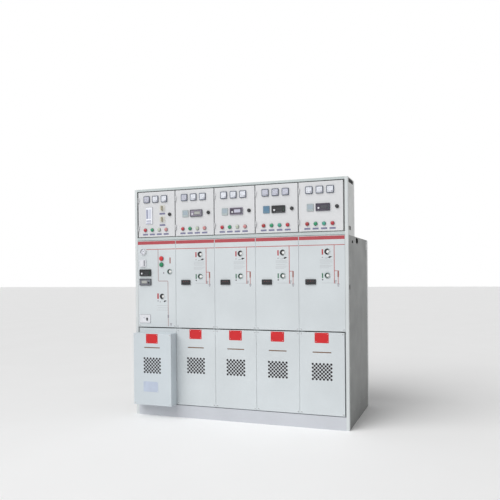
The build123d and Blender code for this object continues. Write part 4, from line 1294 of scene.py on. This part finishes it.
# %% Panel marks
RULES = (
    (1180, 152, 242),
    (1172, 152, 236),
    (1164, 152, 242),
    (1152, 156, 224),
    (1140, 152, 242),
    (1132, 152, 230),
    (1124, 152, 216),
)


FILM = 0.3
PLATE_OFFSET = 171.0
EARTH_OFFSET = 281.0
ARC = 28.0


def add_arrow(shell, u, v, length=28.0, height=15.0):
    """An arrow head that points up to the right, with its middle at u, v."""
    points = [(length / 2, height / 4), (-length / 6, height / 2)]
    points += [(-length / 2, 0), (-length / 4, -height / 2)]
    add_cut(shell, front, u, v, points, 0.0, FILM)


def add_earth_sign(shell, u, v):
    for step, width in enumerate((18.0, 13.0, 8.0)):
        add_plate(shell, front, u, v - 8.0 * step, width, 4.4, 0.0, FILM, 0.3, 0.05)


def add_mark(shell, u, v, width, height, corner=1.0):
    """A mark of thin film, flat on the panel."""
    add_plate(shell, front, u, v, width, height, 0.0, FILM, corner, 0.05)


def add_sign(shell, u, v, width, height):
    """An enamelled plate, a little thicker than film."""
    add_plate(shell, front, u, v, width, height, 0.0, 0.6, 1.0, 0.2)


def make_panel_marks():
    red, green, brown, black, grey = (bmesh.new() for _ in range(5))
    tails, rules, arcs = [], [], []
    for bay in list(BAYS)[1:]:
        left = BAY_LINES[bay]
        socket = left + SOCKET_OFFSET
        add_sign(red, left + PLATE_OFFSET, UPPER_SOCKET - 2.0, 10.0, 38.0)
        add_sign(green, left + PLATE_OFFSET, LOWER_SOCKET, 9.0, 35.0)
        add_mark(black, left + PLATE_OFFSET, LOWER_SOCKET - 29.0, 9.0, 8.0)
        add_mark(grey, left + PLATE_OFFSET, UPPER_SOCKET - 40.0, 8.0, 6.0, 0.5)
        add_arrow(black, socket + 20.0, UPPER_SOCKET - 39.0)
        bends = ((10, 40), (-6, 46), (-18, 45))
        tails.append([(socket + shift, UPPER_SOCKET - drop) for shift, drop in bends])
        turns = [math.radians(150 - 12 * step) for step in range(10)]
        arc = [(ARC * math.cos(turn), ARC * math.sin(turn)) for turn in turns]
        arcs.append([(socket + x, LOWER_SOCKET + z) for x, z in arc])
        rules += [[(left + start, v), (left + finish, v)] for v, start, finish in RULES]
        last_rule = LOWER_SOCKET - 52.0
        rules.append([(left + 166.0, last_rule), (left + FEEDER - 3.0, last_rule)])
        branch_u = left + EARTH_OFFSET
        add_plate(brown, front, branch_u, PANEL_TOP - 268.0, 10.0, 44.0, FILM, 0.4, 1.0, 0.1)
        add_earth_sign(grey, left + EARTH_OFFSET, PANEL_TOP - 338.0)
        add_earth_sign(grey, left + FEEDER + 8.0, PANEL_TOP - 316.0)
    u, v = BREAKER_SOCKET
    add_sign(red, u - 38.0, v + 2.0, 13.0, 42.0)
    add_mark(grey, u - 38.0, v - 35.0, 9.0, 8.0, 0.5)
    add_mark(grey, u - 19.0, v - 42.0, 9.0, 6.0, 0.5)
    add_arrow(black, u + 24.0, v - 37.0)
    for drop, start in ((70, -49), (88, -40), (105, -49)):
        rules.append([(u + start, v - drop), (u + 51.0, v - drop)])
    add_plate(brown, front, UNIT_LEFT + 303.0, PANEL_TOP - 155.0, 10.0, 45.0, 0.0, 0.5, 1.0, 0.1)
    add_mark(grey, UNIT_LEFT + 247.0, PANEL_TOP - 250.0, 9.0, 12.0, 0.5)
    add_earth_sign(grey, UNIT_LEFT + 306.0, PANEL_LOW + 30.0)
    add_plate(grey, front, trunk_u, PANEL_LOW + 85.0, 11.0, 22.0, FILM, FILM, 2.0, 0.1)
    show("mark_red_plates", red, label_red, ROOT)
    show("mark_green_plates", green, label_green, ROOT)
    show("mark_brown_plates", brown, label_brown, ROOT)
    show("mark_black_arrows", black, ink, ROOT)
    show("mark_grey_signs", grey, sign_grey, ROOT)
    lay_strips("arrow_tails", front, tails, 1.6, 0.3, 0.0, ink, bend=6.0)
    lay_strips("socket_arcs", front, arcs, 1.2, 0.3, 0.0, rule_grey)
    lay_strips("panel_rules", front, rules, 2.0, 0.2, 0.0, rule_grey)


sign_grey = film("sign_grey", (140, 136, 144), 0.5, 0.0)
make_panel_marks()
print("panel marks on", len(BAYS), "bays")

# %% [markdown]
# Bays two to five carry a voltage indicator: a dark case with a glossy window, three small lamps
# and three test points under it. It is nearly black as a whole, so only gloss tells its parts.

# %% Voltage indicators
INDICATOR_OFFSET = 86.0
INDICATOR_HEIGHT = PANEL_TOP - 323.0


def make_indicators():
    window, points = bmesh.new(), bmesh.new()
    lamps = []
    for bay in list(BAYS)[1:]:
        u, v = BAY_LINES[bay] + INDICATOR_OFFSET, INDICATOR_HEIGHT
        add_surround(points, front, u, v, 75.0, 37.0, 3.0, BEZEL, 1.6, 3.0, 0.5)
        add_plate(window, front, u, v + 5.5, 60.0, 15.0, BEZEL, 0.6, 1.0, 0.2)
        lamps += row(front, (u - 18.0, v + 5.5), (u + 18.0, v + 5.5), 3, BEZEL + 0.6)
        for step in (-18.0, 0.0, 18.0):
            test_point = [(3.2, BEZEL), (3.2, BEZEL + 1.2), (1.6, BEZEL + 1.0)]
            add_turned(points, front, u + step, v - 9.0, test_point)
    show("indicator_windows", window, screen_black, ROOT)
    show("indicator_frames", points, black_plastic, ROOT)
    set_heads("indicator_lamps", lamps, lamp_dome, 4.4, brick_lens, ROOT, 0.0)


make_indicators()
print("indicators:", len(BAYS) - 1)

# %% [markdown]
# The first bay's panel has the breaker's own devices. The pressure gauge is rebuilt here, since its
# dial lies sunk in the case: a thin rim, an inner wall in a darker plastic than the case, painted
# shade for the recess, which shows as an arc on one side, a white dial with its scale and needle,
# and a pane. The piece keeps the place and the body of the CAD's gauge and takes its place.

# %% Pressure gauge and counter
GAUGE = (BAY_LINES[1] + 44.0, PANEL_TOP - 84.0)
COUNTER = (BAY_LINES[1] + 39.0, PANEL_TOP - 173.0)


def make_gauge():
    u, v = GAUGE
    case, wall, dial, hands, pane = (bmesh.new() for _ in range(5))
    outer = [(20.0, -30.0), (20.0, 0.0), (25.0, 0.0), (25.0, 8.2), (24.2, 9.0), (22.6, 9.0), (22.6, 1.2)]
    add_turned(case, front, u, v, outer, 48)
    # Painted shade: the inner wall is darker than the case, for the shade inside the sunk rim.
    add_turned(wall, front, u, v, [(22.6, 1.3), (22.6, 8.4), (21.4, 8.4), (21.4, 1.8)], 48)
    add_turned(dial, front, u, v, [(21.4, 1.9), (21.4, 2.6), (0, 2.6)], 48)
    add_bar(hands, front, (u + 3.0, v - 3.0), (u - 10.5, v + 10.5), 1.2, 3.4, 0.3)
    add_turned(hands, front, u, v, [(2.6, 2.6), (2.6, 4.2), (0, 4.3)], 16)
    add_turned(pane, front, u, v, [(21.4, 7.4), (21.4, 8.0), (0, 8.0)], 48)
    add_cut(hands, front, u, v, crescent(17.5, 16.0, (0.0, 0.0), -45, 10), 2.6, 0.15)
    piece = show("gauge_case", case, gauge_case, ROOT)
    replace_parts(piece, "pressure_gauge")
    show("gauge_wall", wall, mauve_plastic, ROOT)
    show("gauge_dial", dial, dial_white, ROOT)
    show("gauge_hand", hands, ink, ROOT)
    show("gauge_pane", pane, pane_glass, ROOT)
    pivot = [(front, u, v, 2.75)]
    set_scales("gauge_ticks", pivot, 17.0, -45, 270, 13, (3.0, 0.6), ROOT, rule_grey)
    set_scales("gauge_fine_ticks", pivot, 18.0, -45, 270, 61, (1.2, 0.3), ROOT, rule_grey)


def make_counter():
    u, v = COUNTER
    sheet, window, wheels = bmesh.new(), bmesh.new(), bmesh.new()
    add_surround(sheet, front, u, v, 54.0, 55.0, 3.0, BEZEL, 1.4, 3.0, 0.5)
    # The dark window sits at the right edge of the frame: a counter window, and also painted shade for
    # the shaded right side of the proud case.
    add_plate(window, front, u + 14.0, v, 9.0, 44.0, BEZEL - 0.2, 0.8, 1.0, 0.2)
    for step in range(5):
        wheel = v - 15.2 + 7.6 * step
        add_plate(wheels, front, u + 14.0, wheel, 5.6, 6.4, BEZEL + 0.4, 0.5, 0.8, 0.2)
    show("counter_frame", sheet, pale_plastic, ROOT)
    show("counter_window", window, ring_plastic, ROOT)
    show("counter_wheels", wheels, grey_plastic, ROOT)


gauge_case = moulded("gauge_case", (218, 220, 222), 0.4, 0.01)
make_gauge()
make_counter()
print("gauge and counter made")

# %% [markdown]
# Beside them sit two relays, the breaker's two large push buttons and a test socket plate. A push
# button's ring and stem replace the CAD's plain drums, and its coloured cap is a turned piece with
# a broad flat face and a soft rim.

# %% Breaker relays, buttons and test plate
BREAKER_BUTTONS = {"red": PANEL_TOP - 139.0, "green": PANEL_TOP - 186.0}
BREAKER_BUTTON_U = BAY_LINES[1] + 201.5
TEST_PLATE = (BAY_LINES[1] + 54.0, PANEL_LOW + 63.0)


def make_breaker_buttons():
    rings = bmesh.new()
    caps = {"red": breaker_red, "green": breaker_green}
    for colour, v in BREAKER_BUTTONS.items():
        ring = [(8.0, -20.0), (8.0, 0.0), (18.5, 0.0), (18.5, 3.4), (17.8, 4.2), (0, 4.2)]
        add_turned(rings, front, BREAKER_BUTTON_U, v, ring, 48)
        cap = bmesh.new()
        profile = [(17.0, 4.1), (17.0, 7.0), (16.2, 8.4), (14.4, 9.0), (0, 9.0)]
        add_turned(cap, front, BREAKER_BUTTON_U, v, profile, 48)
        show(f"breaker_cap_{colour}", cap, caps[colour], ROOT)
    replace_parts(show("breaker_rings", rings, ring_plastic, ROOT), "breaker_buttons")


def make_test_plate():
    u, v = TEST_PLATE
    rim, plug, mark = bmesh.new(), bmesh.new(), bmesh.new()
    # Painted shade: the dark rim round the pale plate stands in for the shade along its edge.
    add_surround(rim, front, u, v, 95.0, 67.0, 2.4, 0.0, 1.2, 3.0, 0.3)
    drop = [(5.5, 12.5), (-5.5, 12.5), (-7.5, 2.0), (-4.0, -9.0), (0.0, -12.5), (4.0, -9.0), (7.5, 2.0)]
    soft_top = [(x * 0.85, y * 0.85) for x, y in drop]
    add_stack(plug, front, u + 18.0, v - 4.0, [(drop, 3.0), (drop, 6.0), (soft_top, 7.0)])
    add_plate(mark, front, u - 10.0, v + 7.0, 7.0, 6.0, 3.0, 0.3, 0.5, 0.05)
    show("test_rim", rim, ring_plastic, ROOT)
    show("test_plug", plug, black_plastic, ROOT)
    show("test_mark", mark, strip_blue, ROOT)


breaker_red = moulded("breaker_red", (200, 44, 48), 0.42, 0.01)
breaker_green = moulded("breaker_green", (22, 124, 82), 0.42, 0.01)
relay_u = BAY_LINES[1] + 61.0
make_relay("panel_upper", relay_u, PANEL_TOP - 247.0, ROOT, black_plastic, black_plastic, screen_black)
lower_relay = (screen_dark, grey_plastic, screen_pale, black_plastic, -1)
make_relay("panel_lower", relay_u, PANEL_TOP - 319.0, ROOT, *lower_relay)
make_breaker_buttons()
make_test_plate()
print("first bay dressed")

# %% [markdown]
# Each cable cover carries a red placard, pressed with a border and riveted at its corners, and a
# bare data plate sits low on the hood. Behind the vents lies a dark filter mat, and behind the
# narrow slot a brown guide strip: both hang just behind the sheet, so the holes stay real holes.

# %% Placards, data plate, mats and strips
PLACARD = (100.0, 72.0)
ENAMEL = 0.8
COVER_MIDDLE = BAY_PITCH / 2
VENT_HEIGHT = COVER_TOP - 275.5
SLOT_V = COVER_TOP - 140.0


def make_cover_details():
    placards, mats, guides = bmesh.new(), bmesh.new(), bmesh.new()
    studs = []
    for bay in BAYS:
        face = hood_front if bay == 1 else front
        u = BAY_LINES[bay] + COVER_MIDDLE
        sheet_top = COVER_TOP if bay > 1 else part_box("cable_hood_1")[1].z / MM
        v = sheet_top - PLACARD[1] / 2 - 3.0
        add_plate(placards, face, u - 1.0, v, *PLACARD, 0.0, ENAMEL, 3.0, 0.3)
        border = (PLACARD[0] - 8.0, PLACARD[1] - 8.0)
        add_surround(placards, face, u - 1.0, v, *border, 2.0, 0.7, 0.6, 2.0, 0.3)
        for side in (-1, 1):
            for rise in (-1, 1):
                studs.append((face, u - 1.0 + side * 41.0, v + rise * 27.0, ENAMEL))
        add_plate(mats, face, u, VENT_HEIGHT, 168.0, 142.0, -10.0, 4.0, 4.0, 1.0)
        add_plate(guides, face, u, SLOT_V, 142.0, 18.0, -8.0, 3.0, 1.0, 0.3)
    u, v = BAY_LINES[1] + 148.0, 238.0
    plate = bmesh.new()
    add_plate(plate, hood_front, u, v, 125.0, 78.0, 0.0, ENAMEL, 2.0, 0.2)
    studs += [(hood_front, u + x, v + y, ENAMEL) for x in (-58, 58) for y in (-34, 34)]
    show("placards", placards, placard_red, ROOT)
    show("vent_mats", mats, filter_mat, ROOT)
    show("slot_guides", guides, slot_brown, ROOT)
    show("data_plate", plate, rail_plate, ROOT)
    set_heads("placard_rivets", studs, rivet, 4.0, nickel, seed=13)


make_cover_details()
print("covers dressed:", len(BAYS))

# %% [markdown]
# The joints between neighbouring sheets look pale on the real unit, because a foam strip lies in
# them. The doors close on a landing flange, a folded ring round each opening with a rubber strip
# on it, and each door has its own foam seal inside its edge.

# %% Joint strips, landing flanges and seals
LANDING = -19.5


def make_joint_strips():
    strips = bmesh.new()
    for bay in list(BAYS)[1:]:
        for low, high in ((COVER_LOW + 2, COVER_TOP - 2), (PANEL_LOW + 2, PANEL_TOP - 2)):
            middle = (low + high) / 2
            add_plate(strips, front, BAY_LINES[bay], middle, 2.8, high - low, -9.0, 6.0, 0.4, 0.2)
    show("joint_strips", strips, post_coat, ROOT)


def make_landings():
    flanges, rubbers = bmesh.new(), bmesh.new()
    height = DOOR_TOP - DOOR_LOW
    middle = (DOOR_TOP + DOOR_LOW) / 2
    for bay in BAYS:
        u = BAY_LINES[bay] + BAY_PITCH / 2
        flange = (BAY_PITCH - 0.5, height + 11.0, 22.0)
        add_surround(flanges, front, u, middle, *flange, LANDING - 5.5, 5.5, 1.0, 0.4)
        strip = (BAY_PITCH - 26.0, height - 8.0, 6.0)
        add_surround(rubbers, front, u, middle, *strip, LANDING - 0.2, 1.0, 6.0, 0.4)
        seal = bmesh.new()
        foam = (BAY_PITCH - 13.0, height - 5.0, 4.0)
        add_surround(seal, front, u, middle, *foam, -17.6, 6.0, 4.0, 1.0)
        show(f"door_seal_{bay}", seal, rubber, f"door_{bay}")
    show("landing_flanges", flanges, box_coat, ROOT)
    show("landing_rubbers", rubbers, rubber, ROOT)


make_joint_strips()
make_landings()
print("seals made")

# %% [markdown]
# High on each side, near the back, a small lug ties the rear panel: a thin upright plate with two
# dark low bolts.

# %% Side lugs


def make_side_lugs():
    plates = bmesh.new()
    bolts = []
    for face, sign in ((right_side, 1), (left_side, -1)):
        u, v = sign * 775.0, BODY_TOP - 47.0
        add_plate(plates, face, u, v, 34.0, 62.0, -0.1, 0.6, 4.0, 0.2)
        bolts += [(face, u, v + rise, 0.4) for rise in (-20.0, 20.0)]
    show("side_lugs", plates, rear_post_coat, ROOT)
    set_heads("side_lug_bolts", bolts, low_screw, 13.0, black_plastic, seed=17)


make_side_lugs()
print("side lugs made")
